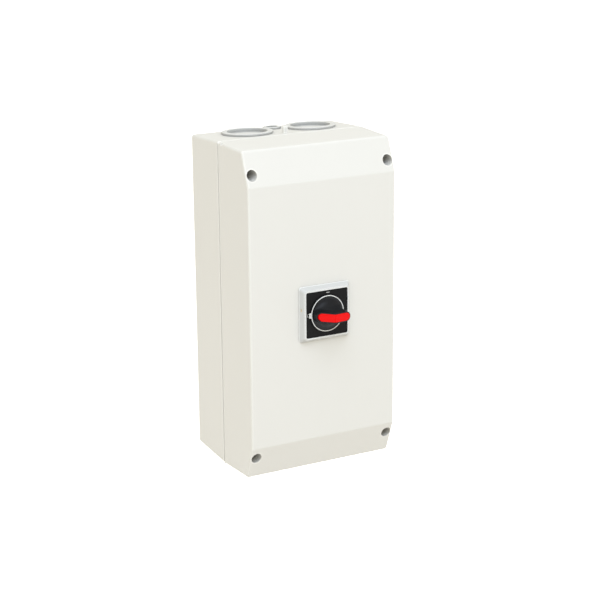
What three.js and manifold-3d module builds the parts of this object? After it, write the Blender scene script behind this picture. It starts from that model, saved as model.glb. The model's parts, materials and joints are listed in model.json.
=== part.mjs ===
// A rotary isolator switch in a wall-mounted plastic enclosure, as separate pieces.
// Units are millimetres. X points right, Y points back to the wall and Z points up.
// The origin is the centre of the enclosure's back face, which rests on the wall.
// Values called from and to are distances out from the wall, so y is minus the distance.
import * as THREE from 'three';
import { mergeVertices } from 'three/addons/utils/BufferGeometryUtils.js';
import Module from 'manifold-3d';

const wasm = await Module();
wasm.setup();

// Clearances
const FIT = 0.3; // between pieces that touch
const BOLT_FIT = 0.4; // around a bolt or a screw in its hole
const TURN_FIT = 0.5; // around a piece that turns
const CUT = 1; // how far a cutting shape runs past the surface it cuts

const SCREW_SLOT = { width: 0.28, depth: 0.55 }; // shares of a head's radius and of its height

// Sides of round shapes
const TINY = 8; // bolts, screws and their holes
const SMALL = 14; // bosses, pillars and screw heads
const LARGE = 24; // bores, rings and plugs
const ROUND = 36; // the knob

// Enclosure
const WIDTH = 193; // at the seam, where the enclosure is widest
const HEIGHT = 392;
const DEPTH = 149;
const BASE_DEPTH = 74; // the base's share of the depth
const SEAM = 2; // open groove between the base's rim and the cover's edge
const BACK_DRAFT = { side: 2, end: 3.5 }; // how far the back face is set in from the rim
const FRONT_DRAFT = { side: 0.75, end: 2.2 }; // how far the front is set in from the seam
const WALL = 3.5;
const FLOOR = 4;
const CORNER = 5; // corner radius seen from the front
const EDGE = 2.4; // rounding of the back and the front edges
const BAND = { height: 39.5, depth: 15 }; // slanted band at each end of the front
const LIP = { thickness: 2, reach: 5, root: 12 }; // the base's lip inside the cover
const GASKET = { inset: 1, width: 2.4 };
const PRY_NOTCH = { size: 3, length: 3.5, behindEdge: 6 };
const HOOK = { width: 5.5, thickness: 3.5, height: 8, x: -4, behindRim: 7 };

// Cover screws in deep round wells
const WELL_BORE = 6.4; // radius
const WELL = {
  x: WIDTH / 2 - WELL_BORE - 2.1,
  z: HEIGHT / 2 - 28.5,
  radius: WELL_BORE,
  wall: 2,
  floorAt: BASE_DEPTH + 16,
  floor: 5,
};
const COVER_SCREW = { head: 4.5, headHeight: 4, shank: 2.4, length: 38 };
const PILLAR = { radius: 7, holeDepth: 27 };

// Cable entries, closed by plugs, in the top and the bottom wall of the base
const ENTRY_X = 3; // the entries' middle, right of the enclosure's centre line
const BIG_BORE = 24; // radius inside the ring
const SMALL_BORE = 6.8;
const BIG_RIM = BIG_BORE + 6.5;
const BIG_ENTRY = {
  offset: BIG_RIM + 11.5,
  at: BASE_DEPTH / 2,
  rim: BIG_RIM,
  bore: BIG_BORE,
  height: 3,
  recess: 4.5,
};
const SMALL_ENTRY = {
  offset: 0,
  at: 19,
  rim: SMALL_BORE + 4.1,
  bore: SMALL_BORE,
  height: 2.6,
  recess: 3.4,
};
const PLUG = { wall: 1.8, floor: 2, skirt: 2, edge: 0.6 };

// Wall fixing holes
const WALL_HOLE = { radius: 3.2, x: WIDTH / 2 - 36.5, z: HEIGHT / 2 - 24 };

// Mounting plate and its screws
const PLATE = { width: WIDTH - 43, height: HEIGHT - 120, thickness: 2, corner: 6 };
const BOSS = { x: PLATE.width / 2 - 11, z: PLATE.height / 2 - 12, radius: 6.5, height: 10, holeDepth: 9 };
const PLATE_SCREW = { head: 4.4, headHeight: 3, shank: 2.2, length: 9 };

// Earth bar and its screws
const EARTH_BAR = { length: 62, width: 9, height: 8, z: -(HEIGHT / 2 - 40) };
const EARTH_BOSS = { x: 22, radius: 5.5, height: 12, holeDepth: 9 };
const EARTH_SCREW = { head: 3.6, headHeight: 2.6, shank: 2, length: 15 };

// Switch: a stack of contact decks on a foot, with the mechanism in front
const AXIS_Z = -1; // height of the handle's axis above the enclosure's centre
const POLES = 3;
const BLADE = { reach: 29.5, width: 11, thickness: 3 };
const CHAMBER = BLADE.reach + 2; // radius
const STRIP_LOW = CHAMBER + 2.5; // the part of a contact strip that runs sideways
const STRIP_HIGH = STRIP_LOW + 9;
const STACK_BOLT = { x: CHAMBER + 6.5, shank: 2, head: 3.6, headHeight: 3.4, nose: 4 };
const DECK = { width: 2 * STACK_BOLT.x + 14, height: 2 * STRIP_HIGH + 6, depth: 20, floor: 4, corner: 3 };
const DECK_END = DECK.height / 2;
const LUG = { width: 24, length: 20, pitch: 27 };
const STRIP = { width: 12, thickness: 2.5, at: 8, inner: 22, outer: DECK_END + 16 };
const TERMINAL = { head: 4.8, headHeight: 4, shank: 2.6, length: 7, z: DECK_END + 8 };
const FOOT_DEPTH = 6;
const MECHANISM = { depth: 22, height: DECK.height - 14, side: 13, wall: 3 };
const ROTOR = { radius: 13, seat: 3, neck: 3 };
const CAM = { size: 2 * ROTOR.radius + 7, corner: 8, from: 1.5, depth: 6 };
const SPRING = { radius: ROTOR.radius + 5, wire: 1.1, turns: 2.5, pitch: 2.7, steps: 36, gap: 0.7 };
const SHAFT = { size: 8, inRotor: 14, pastFront: 1 };

// Handle
const HANDLE_PLATE = {
  base: 67.5,
  taper: 4.3,
  depth: 7.3,
  corner: 3.2,
  edge: 0.5,
  rim: 2,
  wall: 3,
  web: 2.5,
};
const INLAY = { thickness: 2, recess: 0.9, corner: 1.5 };
const LATCH = { length: 4.8, z: 14, height: 1.1, behindFront: 0.5, reach: 1.2 };
const PLATE_GASKET = { inset: 3.4, width: 3.5 }; // outside the O-ring's seat
const HANDLE_SCREW = { head: 3.6, headHeight: 2.6, shank: 1.9, length: 7, offset: 19 };
const HANDLE_BOSS = { radius: 4.4, roof: 0.5 };
const DEFEAT_SCREW = { radius: 1.7, length: 6, wallSet: 1.2, sunk: 0.5, at: 2.4, z: 6.5, wall: 1.3 };
const SKIRT = { radius: 22.4, thickness: 1.6 };
const RING_OUTER = SKIRT.radius - 0.9;
const POINTER = {
  inner: RING_OUTER - 1.8,
  outer: RING_OUTER,
  thickness: 0.9,
  sunk: 0.6,
  tab: 2.4,
  tabWidth: 6,
};
const COVE = { radius: POINTER.inner - 0.5, height: 15, top: 5, steps: 6 }; // the knob's hollow flanks
const GRIP = {
  width: 12,
  left: -(SKIRT.radius - 3),
  right: SKIRT.radius - 1.2,
  heel: 9.3,
  kink: -2.8,
  crest: 25.8,
  tip: 17.2,
  tipDrop: 1.8,
  tipRound: 2, // rounding of the tip's edge
  lean: 2, // how far the right end bows in from a straight line
};
const SLIDE = {
  width: GRIP.width - 2.6,
  thickness: 3.6,
  proud: 0.4,
  margin: 1.3,
  point: 4.2,
  web: 3.6,
  webDepth: 11.6,
  from: -1.5,
  to: 12.5,
  slotAbove: 3, // how far its slot is cut above the crest
};
const PADLOCK_HOLE = { radius: 3.2, x: (SLIDE.from + SLIDE.to) / 2, below: 7 }; // below the crest
const STEM = { radius: 8.2, inKnob: 9, behindCover: 8 };
const CLIP = { outer: STEM.radius + 3.3, thickness: 1.2, groove: 0.9, gap: 5 };
const ORING = { section: 1.3 };

// Colours, roughness and metalness
const LOOKS = {
  shell: [0xe6e4da, 0.55, 0],
  plug: [0xd9dbd8, 0.55, 0],
  white: [0xe4e5e1, 0.45, 0],
  black: [0x2b2b2d, 0.5, 0],
  grip: [0x26272a, 0.4, 0],
  red: [0xf01a1a, 0.4, 0],
  pale: [0xe2e2dc, 0.5, 0],
  rubber: [0x8f8f8a, 0.85, 0],
  zinc: [0xb9bcc0, 0.35, 1],
  copper: [0xb87348, 0.35, 1],
  brass: [0xc2a255, 0.35, 1],
  steel: [0x9a9ca0, 0.35, 1],
  moulded: [0x55585c, 0.6, 0],
};

// Turns a closed three.js geometry into a solid that can be joined and cut.
function solid(geometry) {
  const bare = geometry.index ? geometry.toNonIndexed() : geometry.clone();
  bare.deleteAttribute('normal');
  bare.deleteAttribute('uv');
  const merged = mergeVertices(bare, 1e-4);
  return new wasm.Manifold(new wasm.Mesh({
    numProp: 3,
    vertProperties: new Float32Array(merged.attributes.position.array),
    triVerts: new Uint32Array(merged.index.array),
  }));
}

// Turns a solid back into a three.js geometry.
function geometryOf(body) {
  const mesh = body.getMesh();
  const geometry = new THREE.BufferGeometry();
  geometry.setAttribute('position', new THREE.BufferAttribute(mesh.vertProperties, 3));
  geometry.setIndex(new THREE.BufferAttribute(mesh.triVerts, 1));
  geometry.computeVertexNormals();
  return geometry;
}

function joined(...bodies) {
  return bodies.reduce((sum, body) => sum.add(body));
}

// A mesh from a solid, in one of the looks, at a place in its group.
function piece(name, body, look, x = 0, y = 0, z = 0) {
  const [color, roughness, metalness] = LOOKS[look];
  const material = new THREE.MeshStandardMaterial({ color, roughness, metalness });
  const mesh = new THREE.Mesh(geometryOf(body), material);
  mesh.name = name;
  mesh.position.set(x, y, z);
  return mesh;
}

// Outline of a rectangle with round corners, seen from the front.
function roundedRectangle(width, height, radius) {
  const shape = new THREE.Shape();
  const x = width / 2 - radius;
  const z = height / 2 - radius;
  shape.absarc(x, z, radius, 0, Math.PI / 2);
  shape.absarc(-x, z, radius, Math.PI / 2, Math.PI);
  shape.absarc(-x, -z, radius, Math.PI, 1.5 * Math.PI);
  shape.absarc(x, -z, radius, 1.5 * Math.PI, 2 * Math.PI);
  shape.closePath();
  return shape;
}

// An outline seen from the front, carried from one distance to another.
function prism(shape, from, to, curveSegments = 3) {
  const settings = { depth: to - from, bevelEnabled: false, curveSegments };
  const geometry = new THREE.ExtrudeGeometry(shape, settings);
  geometry.rotateX(Math.PI / 2).translate(0, -from, 0);
  return solid(geometry);
}

function block(width, height, from, to, x = 0, z = 0) {
  return solid(new THREE.BoxGeometry(width, to - from, height).translate(x, -(from + to) / 2, z));
}

function rod(radius, from, to, x = 0, z = 0, sides = LARGE) {
  const geometry = new THREE.CylinderGeometry(radius, radius, to - from, sides);
  return solid(geometry.translate(x, -(from + to) / 2, z));
}

// A body with a round hole through it that clears a screw or a bolt of some radius.
function drilled(body, radius, from, to, x = 0, z = 0) {
  return body.subtract(rod(radius + BOLT_FIT, from, to, x, z, TINY));
}

// A profile of (radius, distance) points turned about the axis that runs out from the wall.
function turned(points, sides = LARGE) {
  const profile = points.map(([radius, distance]) => new THREE.Vector2(radius, distance));
  return solid(new THREE.LatheGeometry(profile, sides).rotateX(Math.PI));
}

// A ring between two distances, open in the middle.
function ring(outer, inner, from, to, sides = LARGE) {
  return rod(outer, from, to, 0, 0, sides).subtract(rod(inner, from - CUT, to + CUT, 0, 0, sides));
}

// A side view of (distance, z) points carried across the width, centred on x = 0.
function sidePrism(points, width) {
  const shape = new THREE.Shape(points.map(([distance, z]) => new THREE.Vector2(distance, z)));
  const geometry = new THREE.ExtrudeGeometry(shape, { depth: width, bevelEnabled: false });
  geometry.translate(0, 0, -width / 2);
  geometry.applyMatrix4(new THREE.Matrix4().makeBasis(
    new THREE.Vector3(0, -1, 0),
    new THREE.Vector3(0, 0, 1),
    new THREE.Vector3(-1, 0, 0),
  ));
  return solid(geometry);
}

// A top view outline of x and distance carried up the height, centred on z = 0.
function topPrism(shape, height) {
  const settings = { depth: height, bevelEnabled: false, curveSegments: 5 };
  const geometry = new THREE.ExtrudeGeometry(shape, settings);
  return solid(geometry.translate(0, 0, -height / 2).rotateX(Math.PI));
}

// A block with round corners whose outline changes evenly from its back to its front.
function taperedBlock(back, front, radius, edge = 0) {
  const depth = front.at - back.at;
  const geometry = new THREE.ExtrudeGeometry(roundedRectangle(front.width, front.height, radius), {
    depth: depth - 2 * edge,
    bevelEnabled: edge > 0,
    bevelSize: edge,
    bevelThickness: edge,
    bevelOffset: -edge,
    bevelSegments: 2,
    curveSegments: 3,
  });
  geometry.rotateX(Math.PI / 2).translate(0, -(back.at + edge), 0);
  const points = geometry.attributes.position;
  for (let i = 0; i < points.count; i += 1) {
    const share = (-points.getY(i) - back.at) / depth;
    points.setX(i, points.getX(i) * THREE.MathUtils.lerp(back.width / front.width, 1, share));
    points.setZ(i, points.getZ(i) * THREE.MathUtils.lerp(back.height / front.height, 1, share));
  }
  return solid(geometry);
}

// A screw whose head starts at distance 0 and whose shank runs back to the wall.
function screw({ head, headHeight, shank, length }) {
  const shape = joined(rod(head, 0, headHeight, 0, 0, SMALL), rod(shank, -length, CUT, 0, 0, TINY));
  const slotFloor = headHeight * (1 - SCREW_SLOT.depth);
  return shape.subtract(block(2 * head + CUT, head * SCREW_SLOT.width, slotFloor, headHeight + CUT));
}

// Places on a rectangle's four corners, in a fixed order.
function corners(x, z) {
  return [[-x, z], [x, z], [-x, -z], [x, -z]];
}

// The base

const RIM = { width: WIDTH, height: HEIGHT, at: BASE_DEPTH };
const BACK = { width: WIDTH - 2 * BACK_DRAFT.side, height: HEIGHT - 2 * BACK_DRAFT.end, at: 0 };

// The base's outer form, set in by a distance on its sides and its back.
function baseForm(inset, backAt, frontAt) {
  const sized = (at) => {
    const share = at / BASE_DEPTH;
    return {
      width: THREE.MathUtils.lerp(BACK.width, RIM.width, share) - 2 * inset,
      height: THREE.MathUtils.lerp(BACK.height, RIM.height, share) - 2 * inset,
      at,
    };
  };
  return taperedBlock(sized(backAt), sized(frontAt), Math.max(CORNER - inset, 1));
}

// A straight frame that follows the seam, between two insets.
function seamFrame(outerInset, innerInset, from, to) {
  const outline = (inset) => roundedRectangle(
    WIDTH - 2 * inset, HEIGHT - 2 * inset, Math.max(CORNER - inset, 1));
  return prism(outline(outerInset), from, to).subtract(prism(outline(innerInset), from - CUT, to + CUT));
}

const DRAFT_ANGLE = Math.atan2(BACK_DRAFT.end, BASE_DEPTH);

// The place of a cable entry: its z axis points out of the top wall (end 1) or the bottom one (end -1).
function onEndWall(end, x, at) {
  const height = (BACK.height / 2 + BACK_DRAFT.end * (at / BASE_DEPTH)) * end;
  const turn = end > 0 ? -DRAFT_ANGLE : Math.PI + DRAFT_ANGLE;
  return new THREE.Matrix4().makeRotationX(turn).setPosition(x, -at, height);
}

const ENTRIES = [
  ['left', BIG_ENTRY, -1],
  ['right', BIG_ENTRY, 1],
  ['small', SMALL_ENTRY, 0],
];

function entryHole(entry, side, end) {
  const geometry = new THREE.CylinderGeometry(
    entry.bore + PLUG.wall + FIT, entry.bore + PLUG.wall + FIT, 4 * WALL, LARGE);
  geometry.rotateX(Math.PI / 2);
  return solid(geometry.applyMatrix4(onEndWall(end, ENTRY_X + side * entry.offset, entry.at)));
}

function baseHousing() {
  const backEdge = taperedBlock(BACK, { ...RIM, at: BASE_DEPTH + 2 * EDGE }, CORNER, EDGE);
  const outer = baseForm(0, 0, BASE_DEPTH).intersect(backEdge);
  let shell = outer.subtract(baseForm(WALL, FLOOR, BASE_DEPTH + CUT));
  const lipInset = WALL + FIT;
  const lipInner = lipInset + LIP.thickness;
  const rootFrom = BASE_DEPTH - LIP.root;
  const root = seamFrame(WALL - CUT, lipInner, rootFrom, BASE_DEPTH - LIP.root / 2);
  const lip = seamFrame(lipInset, lipInner, rootFrom, BASE_DEPTH + LIP.reach);
  shell = joined(shell, root, lip);
  for (const [x, z] of corners(WELL.x, WELL.z)) {
    shell = shell.add(rod(PILLAR.radius, FLOOR - CUT, BASE_DEPTH, x, z, SMALL).intersect(outer));
    shell = drilled(shell, COVER_SCREW.shank, BASE_DEPTH - PILLAR.holeDepth, BASE_DEPTH + CUT, x, z);
  }
  for (const [x, z] of corners(BOSS.x, BOSS.z)) {
    shell = shell.add(rod(BOSS.radius, FLOOR - CUT, FLOOR + BOSS.height, x, z, SMALL));
    const top = FLOOR + BOSS.height;
    shell = drilled(shell, PLATE_SCREW.shank, top - BOSS.holeDepth, top + CUT, x, z);
  }
  for (const x of [-EARTH_BOSS.x, EARTH_BOSS.x]) {
    const top = FLOOR + EARTH_BOSS.height;
    shell = shell.add(rod(EARTH_BOSS.radius, FLOOR - CUT, top, x, EARTH_BAR.z, SMALL));
    shell = drilled(shell, EARTH_SCREW.shank, top - EARTH_BOSS.holeDepth, top + CUT, x, EARTH_BAR.z);
  }
  for (const [x, z] of corners(WALL_HOLE.x, WALL_HOLE.z)) {
    shell = shell.subtract(rod(WALL_HOLE.radius, -CUT, FLOOR + CUT, x, z, SMALL));
  }
  for (const [, entry, side] of ENTRIES) {
    shell = shell.subtract(entryHole(entry, side, 1)).subtract(entryHole(entry, side, -1));
  }
  const hookAt = BASE_DEPTH - HOOK.behindRim;
  const hookFoot = HEIGHT / 2 - WALL;
  const hook = block(HOOK.width, HOOK.height + WALL, hookAt - HOOK.thickness, hookAt,
    HOOK.x, hookFoot + (HOOK.height + WALL) / 2);
  return shell.add(hook);
}

// A closing plug, with its axis along z and its flange resting on z = 0.
function entryPlug(entry) {
  const neck = entry.bore + PLUG.wall;
  const top = entry.height - entry.recess;
  const profile = [
    [0, top - PLUG.floor],
    [entry.bore, top - PLUG.floor],
    [entry.bore, -WALL - PLUG.skirt],
    [neck, -WALL - PLUG.skirt],
    [neck, FIT],
    [entry.rim, FIT],
    [entry.rim, entry.height - PLUG.edge],
    [entry.rim - PLUG.edge, entry.height],
    [entry.bore, entry.height],
    [entry.bore, top],
    [0, top],
  ];
  const points = profile.map(([radius, height]) => new THREE.Vector2(radius, height));
  return solid(new THREE.LatheGeometry(points, LARGE).rotateX(Math.PI / 2));
}

// The cover

const COVER_AT = BASE_DEPTH + SEAM;
const FLAT = HEIGHT / 2 - FRONT_DRAFT.end - BAND.height; // half height of the flat front

// The cover's outer form, set in by a distance on every side but its open back.
function coverForm(inset, backAt, edge = 0) {
  const back = { width: WIDTH - 2 * inset, height: HEIGHT - 2 * inset, at: backAt };
  const front = {
    width: WIDTH - 2 * FRONT_DRAFT.side - 2 * inset,
    height: HEIGHT - 2 * FRONT_DRAFT.end - 2 * inset,
    at: DEPTH - inset,
  };
  let form = taperedBlock(back, front, Math.max(CORNER - inset, 1), edge);
  const slope = new THREE.Vector2(BAND.depth, -BAND.height).normalize();
  const inward = new THREE.Vector2(slope.y, -slope.x).multiplyScalar(inset);
  const reach = BAND.height;
  for (const end of [1, -1]) {
    const foot = [DEPTH + inward.x, FLAT + inward.y];
    const low = [foot[0] + slope.x * reach, foot[1] + slope.y * reach];
    const high = [foot[0] - slope.x * 2 * reach, foot[1] - slope.y * 2 * reach];
    const points = [low, [foot[0] + 2 * reach, foot[1] + 2 * reach], high].map(([d, z]) => [d, z * end]);
    form = form.subtract(sidePrism(points, WIDTH + 2 * CUT));
  }
  return form;
}

// The cover is one moulding. It is cut across at its two creases, because a screw well is easier to
// keep open in a short piece: the middle takes the handle, and each end takes two wells.
function coverMoulding() {
  const beveled = coverForm(0, COVER_AT - 2 * EDGE, EDGE);
  const outer = beveled.intersect(block(2 * WIDTH, 2 * HEIGHT, COVER_AT, DEPTH + CUT));
  let shell = outer.subtract(coverForm(WALL, COVER_AT - CUT));
  for (const [x, z] of corners(WELL.x, WELL.z)) {
    const tube = rod(WELL.radius + WELL.wall, WELL.floorAt - WELL.floor, DEPTH, x, z, LARGE);
    shell = shell.add(tube.intersect(outer));
    shell = shell.subtract(rod(WELL.radius, WELL.floorAt, DEPTH + CUT, x, z, LARGE));
    shell = drilled(shell, COVER_SCREW.shank, COVER_AT, DEPTH, x, z);
  }
  shell = shell.subtract(rod(STEM.radius + TURN_FIT, DEPTH - WALL - CUT, DEPTH + CUT, 0, AXIS_Z, LARGE));
  for (const side of [-1, 1]) {
    const offset = side * HANDLE_SCREW.offset;
    shell = drilled(shell, HANDLE_SCREW.shank, DEPTH - WALL - CUT, DEPTH + CUT, offset, AXIS_Z + offset);
  }
  const notchFrom = COVER_AT + PRY_NOTCH.behindEdge;
  return shell.subtract(block(2 * PRY_NOTCH.size, 2 * PRY_NOTCH.size, notchFrom,
    notchFrom + PRY_NOTCH.length, -WIDTH / 2, HEIGHT / 2));
}

// The stretch of the cover between two heights.
function coverStretch(low, high) {
  return coverMoulding().intersect(block(2 * WIDTH, high - low, 0, DEPTH + CUT, 0, (low + high) / 2));
}

function coverGasket() {
  return seamFrame(GASKET.inset, GASKET.inset + GASKET.width, BASE_DEPTH + FIT, COVER_AT - FIT);
}

// The inside: plate, earth bar and the switch

const PLATE_FROM = FLOOR + BOSS.height + FIT;
const PLATE_TO = PLATE_FROM + PLATE.thickness;

function mountingPlate() {
  let plate = prism(roundedRectangle(PLATE.width, PLATE.height, PLATE.corner), PLATE_FROM, PLATE_TO);
  for (const [x, z] of corners(BOSS.x, BOSS.z)) {
    plate = drilled(plate, PLATE_SCREW.shank, PLATE_FROM - CUT, PLATE_TO + CUT, x, z);
  }
  for (const x of [-STACK_BOLT.x, STACK_BOLT.x]) {
    plate = drilled(plate, STACK_BOLT.shank, PLATE_FROM - CUT, PLATE_TO + CUT, x, AXIS_Z);
  }
  return plate;
}

const EARTH_FROM = FLOOR + EARTH_BOSS.height + FIT;

function earthBar() {
  let bar = block(EARTH_BAR.length, EARTH_BAR.width, EARTH_FROM, EARTH_FROM + EARTH_BAR.height);
  for (const x of [-EARTH_BOSS.x, EARTH_BOSS.x]) {
    bar = drilled(bar, EARTH_SCREW.shank, EARTH_FROM - CUT, EARTH_FROM + EARTH_BAR.height + CUT, x);
  }
  return bar;
}

const FOOT_FROM = PLATE_TO + FIT;
const DECKS_FROM = FOOT_FROM + FOOT_DEPTH + FIT;
const DECK_STEP = DECK.depth + FIT;
const MECHANISM_FROM = DECKS_FROM + POLES * DECK_STEP;
const MECHANISM_TO = MECHANISM_FROM + MECHANISM.depth;
const ROTOR_FROM = FOOT_FROM + FOOT_DEPTH - ROTOR.seat + FIT;
const ROTOR_TO = MECHANISM_TO + ROTOR.neck;
const SHAFT_FROM = ROTOR_TO - SHAFT.inRotor;
const BLADE_AT = STRIP.at + STRIP.thickness + FIT; // from a deck's back to its blade

function stackBoltHoles(body, from, to) {
  const left = drilled(body, STACK_BOLT.shank, from - CUT, to + CUT, -STACK_BOLT.x);
  return drilled(left, STACK_BOLT.shank, from - CUT, to + CUT, STACK_BOLT.x);
}

function switchFoot() {
  const to = FOOT_FROM + FOOT_DEPTH;
  const foot = prism(roundedRectangle(DECK.width, DECK.height, DECK.corner), FOOT_FROM, to);
  const seat = rod(ROTOR.radius + TURN_FIT, to - ROTOR.seat, to + CUT);
  return stackBoltHoles(foot.subtract(seat), FOOT_FROM, to);
}

// A fixed contact's Z-shaped strip, from the chamber out to a terminal at x, grown all round.
function stripForm(x, end, grow, from, to, outer) {
  const width = STRIP.width + 2 * grow;
  const leg = (across, low, high, middle) => {
    const z = end * (low + high) / 2;
    return block(across, high - low, from, to, middle, z);
  };
  const low = STRIP_LOW - grow;
  const high = STRIP_HIGH + grow;
  return joined(
    leg(width, STRIP.inner - grow, high, 0),
    leg(Math.abs(x) + width, low, high, x / 2),
    leg(width, low, outer, x),
  );
}

// One deck of the stack, a tray with its back at distance 0 and its terminals at x.
function contactDeck(x) {
  const seat = STRIP.at - FIT;
  const lugEnd = DECK_END + LUG.length;
  let deck = prism(roundedRectangle(DECK.width, DECK.height, DECK.corner), 0, DECK.depth);
  for (const end of [1, -1]) {
    const lugZ = end * (lugEnd - (LUG.length + CUT) / 2);
    deck = deck.add(block(LUG.width, LUG.length + CUT, 0, DECK.depth, x, lugZ));
  }
  deck = deck.subtract(rod(CHAMBER, DECK.floor, DECK.depth + CUT, 0, 0, LARGE));
  deck = deck.subtract(rod(ROTOR.radius + TURN_FIT, -CUT, DECK.floor + CUT, 0, 0, LARGE));
  for (const end of [1, -1]) {
    deck = deck.subtract(stripForm(x, end, FIT, seat, DECK.depth + CUT, lugEnd + CUT));
    const holeFrom = STRIP.at + STRIP.thickness - TERMINAL.length - FIT;
    deck = drilled(deck, TERMINAL.shank, holeFrom, seat + CUT, x, end * TERMINAL.z);
  }
  return stackBoltHoles(deck, 0, DECK.depth);
}

function fixedContact(x, end) {
  const to = STRIP.at + STRIP.thickness;
  const strip = stripForm(x, end, 0, STRIP.at, to, STRIP.outer);
  return drilled(strip, TERMINAL.shank, STRIP.at - CUT, to + CUT, x, end * TERMINAL.z);
}

function mechanismHousing() {
  const outline = roundedRectangle(DECK.width, MECHANISM.height, DECK.corner);
  const outer = prism(outline, MECHANISM_FROM, MECHANISM_TO);
  const cavity = block(DECK.width - 2 * MECHANISM.side, MECHANISM.height - 4 * MECHANISM.wall,
    MECHANISM_FROM - CUT, MECHANISM_TO - MECHANISM.wall);
  const neckHole = rod(ROTOR.radius + TURN_FIT, MECHANISM_FROM, MECHANISM_TO + CUT, 0, 0, LARGE);
  return stackBoltHoles(outer.subtract(cavity).subtract(neckHole), MECHANISM_FROM, MECHANISM_TO);
}

function rotor() {
  const camFrom = MECHANISM_FROM + CAM.from;
  let body = rod(ROTOR.radius, ROTOR_FROM, ROTOR_TO, 0, 0, LARGE);
  body = body.add(prism(roundedRectangle(CAM.size, CAM.size, CAM.corner), camFrom, camFrom + CAM.depth));
  for (let deck = 0; deck < POLES; deck += 1) {
    const bladeFrom = DECKS_FROM + deck * DECK_STEP + BLADE_AT;
    body = body.subtract(block(2 * ROTOR.radius + 2 * CUT, BLADE.width + 2 * FIT,
      bladeFrom - FIT, bladeFrom + BLADE.thickness + FIT));
  }
  const socket = SHAFT.size + 2 * FIT;
  return body.subtract(block(socket, socket, SHAFT_FROM - FIT, ROTOR_TO + CUT));
}

// A coil spring around the rotor, in front of its cam.
class Coil extends THREE.Curve {
  getPoint(t, target = new THREE.Vector3()) {
    const angle = t * SPRING.turns * 2 * Math.PI;
    const rise = t * SPRING.turns * SPRING.pitch;
    return target.set(SPRING.radius * Math.cos(angle), -rise, SPRING.radius * Math.sin(angle));
  }
}

function snapSpring() {
  const section = new THREE.Shape();
  section.absarc(0, 0, SPRING.wire, 0, 2 * Math.PI);
  return solid(new THREE.ExtrudeGeometry(section, {
    extrudePath: new Coil(),
    steps: SPRING.steps,
    curveSegments: 3,
    bevelEnabled: false,
  }));
}

// The handle

const PLATE_AT = DEPTH + FIT;
const PLATE_FACE = PLATE_AT + HANDLE_PLATE.depth;
const INLAY_FACE = PLATE_FACE - INLAY.recess;
const INLAY_AT = INLAY_FACE - INLAY.thickness;
const WEB_TO = INLAY_AT - FIT;
const WEB_FROM = WEB_TO - HANDLE_PLATE.web;
const ORING_SEAT = STEM.radius + 2 * FIT + 2 * ORING.section;
const PLATE_FRONT = HANDLE_PLATE.base - 2 * HANDLE_PLATE.taper;
const WINDOW = PLATE_FRONT - 2 * HANDLE_PLATE.rim;

// The two little openings in each side of the handle plate that hold the inlay.
function latches(reach, grow) {
  const to = PLATE_FACE - LATCH.behindFront - INLAY.recess + grow;
  const half = WINDOW / 2;
  return [-1, 1].flatMap((side) => [-1, 1].map((end) => block(
    reach + CUT, LATCH.length + 2 * grow, to - LATCH.height - 2 * grow, to,
    side * (half + (reach - CUT) / 2), end * LATCH.z,
  )));
}

function handlePlate() {
  const outer = taperedBlock(
    { width: HANDLE_PLATE.base, height: HANDLE_PLATE.base, at: PLATE_AT },
    { width: PLATE_FRONT, height: PLATE_FRONT, at: PLATE_FACE },
    HANDLE_PLATE.corner, HANDLE_PLATE.edge);
  const inside = HANDLE_PLATE.base - 2 * HANDLE_PLATE.wall;
  const defeatAt = PLATE_AT + DEFEAT_SCREW.at;
  let plate = outer
    .subtract(prism(roundedRectangle(WINDOW, WINDOW, INLAY.corner), WEB_TO, PLATE_FACE + CUT))
    .subtract(block(inside, inside, PLATE_AT - CUT, WEB_FROM));
  for (const side of [-1, 1]) {
    const offset = side * HANDLE_SCREW.offset;
    plate = plate.add(rod(HANDLE_BOSS.radius, PLATE_AT, WEB_TO, offset, offset, SMALL));
    plate = drilled(plate, HANDLE_SCREW.shank, PLATE_AT - CUT, WEB_TO - HANDLE_BOSS.roof, offset, offset);
  }
  const tunnel = DEFEAT_SCREW.radius + FIT;
  const tunnelEnd = -HANDLE_PLATE.base / 2 + DEFEAT_SCREW.length + HANDLE_PLATE.wall;
  plate = plate.add(block(
    tunnelEnd + inside / 2 + CUT, 2 * (tunnel + DEFEAT_SCREW.wall), PLATE_AT, WEB_TO,
    (tunnelEnd - inside / 2 - CUT) / 2, DEFEAT_SCREW.z,
  ).intersect(outer));
  const boreLength = 2 * (DEFEAT_SCREW.length + HANDLE_PLATE.wall - DEFEAT_SCREW.wall);
  const bore = new THREE.CylinderGeometry(tunnel, tunnel, boreLength, TINY);
  bore.rotateZ(Math.PI / 2).translate(-HANDLE_PLATE.base / 2, -defeatAt, DEFEAT_SCREW.z);
  plate = plate.subtract(solid(bore));
  for (const opening of latches(HANDLE_PLATE.base / 2, FIT)) plate = plate.subtract(opening);
  plate = plate.subtract(rod(STEM.radius + TURN_FIT, PLATE_AT - CUT, WEB_TO + CUT, 0, 0, LARGE));
  return plate.subtract(rod(ORING_SEAT, PLATE_AT - CUT, PLATE_AT + 2 * (ORING.section + FIT), 0, 0, LARGE));
}

function inlay() {
  const size = WINDOW - 2 * FIT;
  let sheet = prism(roundedRectangle(size, size, INLAY.corner), INLAY_AT, INLAY_FACE);
  for (const tab of latches(LATCH.reach, 0)) sheet = sheet.add(tab);
  return sheet.subtract(rod(STEM.radius + TURN_FIT, INLAY_AT - CUT, INLAY_FACE + CUT, 0, 0, LARGE));
}

// A flat ring between the cover and the plate's web, outside the O-ring's seat.
function handleGasket() {
  const inner = ORING_SEAT + PLATE_GASKET.inset;
  return ring(inner + PLATE_GASKET.width, inner, PLATE_AT, WEB_FROM - FIT);
}

function stemOring() {
  const middle = STEM.radius + FIT + ORING.section;
  return solid(new THREE.TorusGeometry(middle, ORING.section, 6, 24).rotateX(Math.PI / 2));
}

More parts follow.
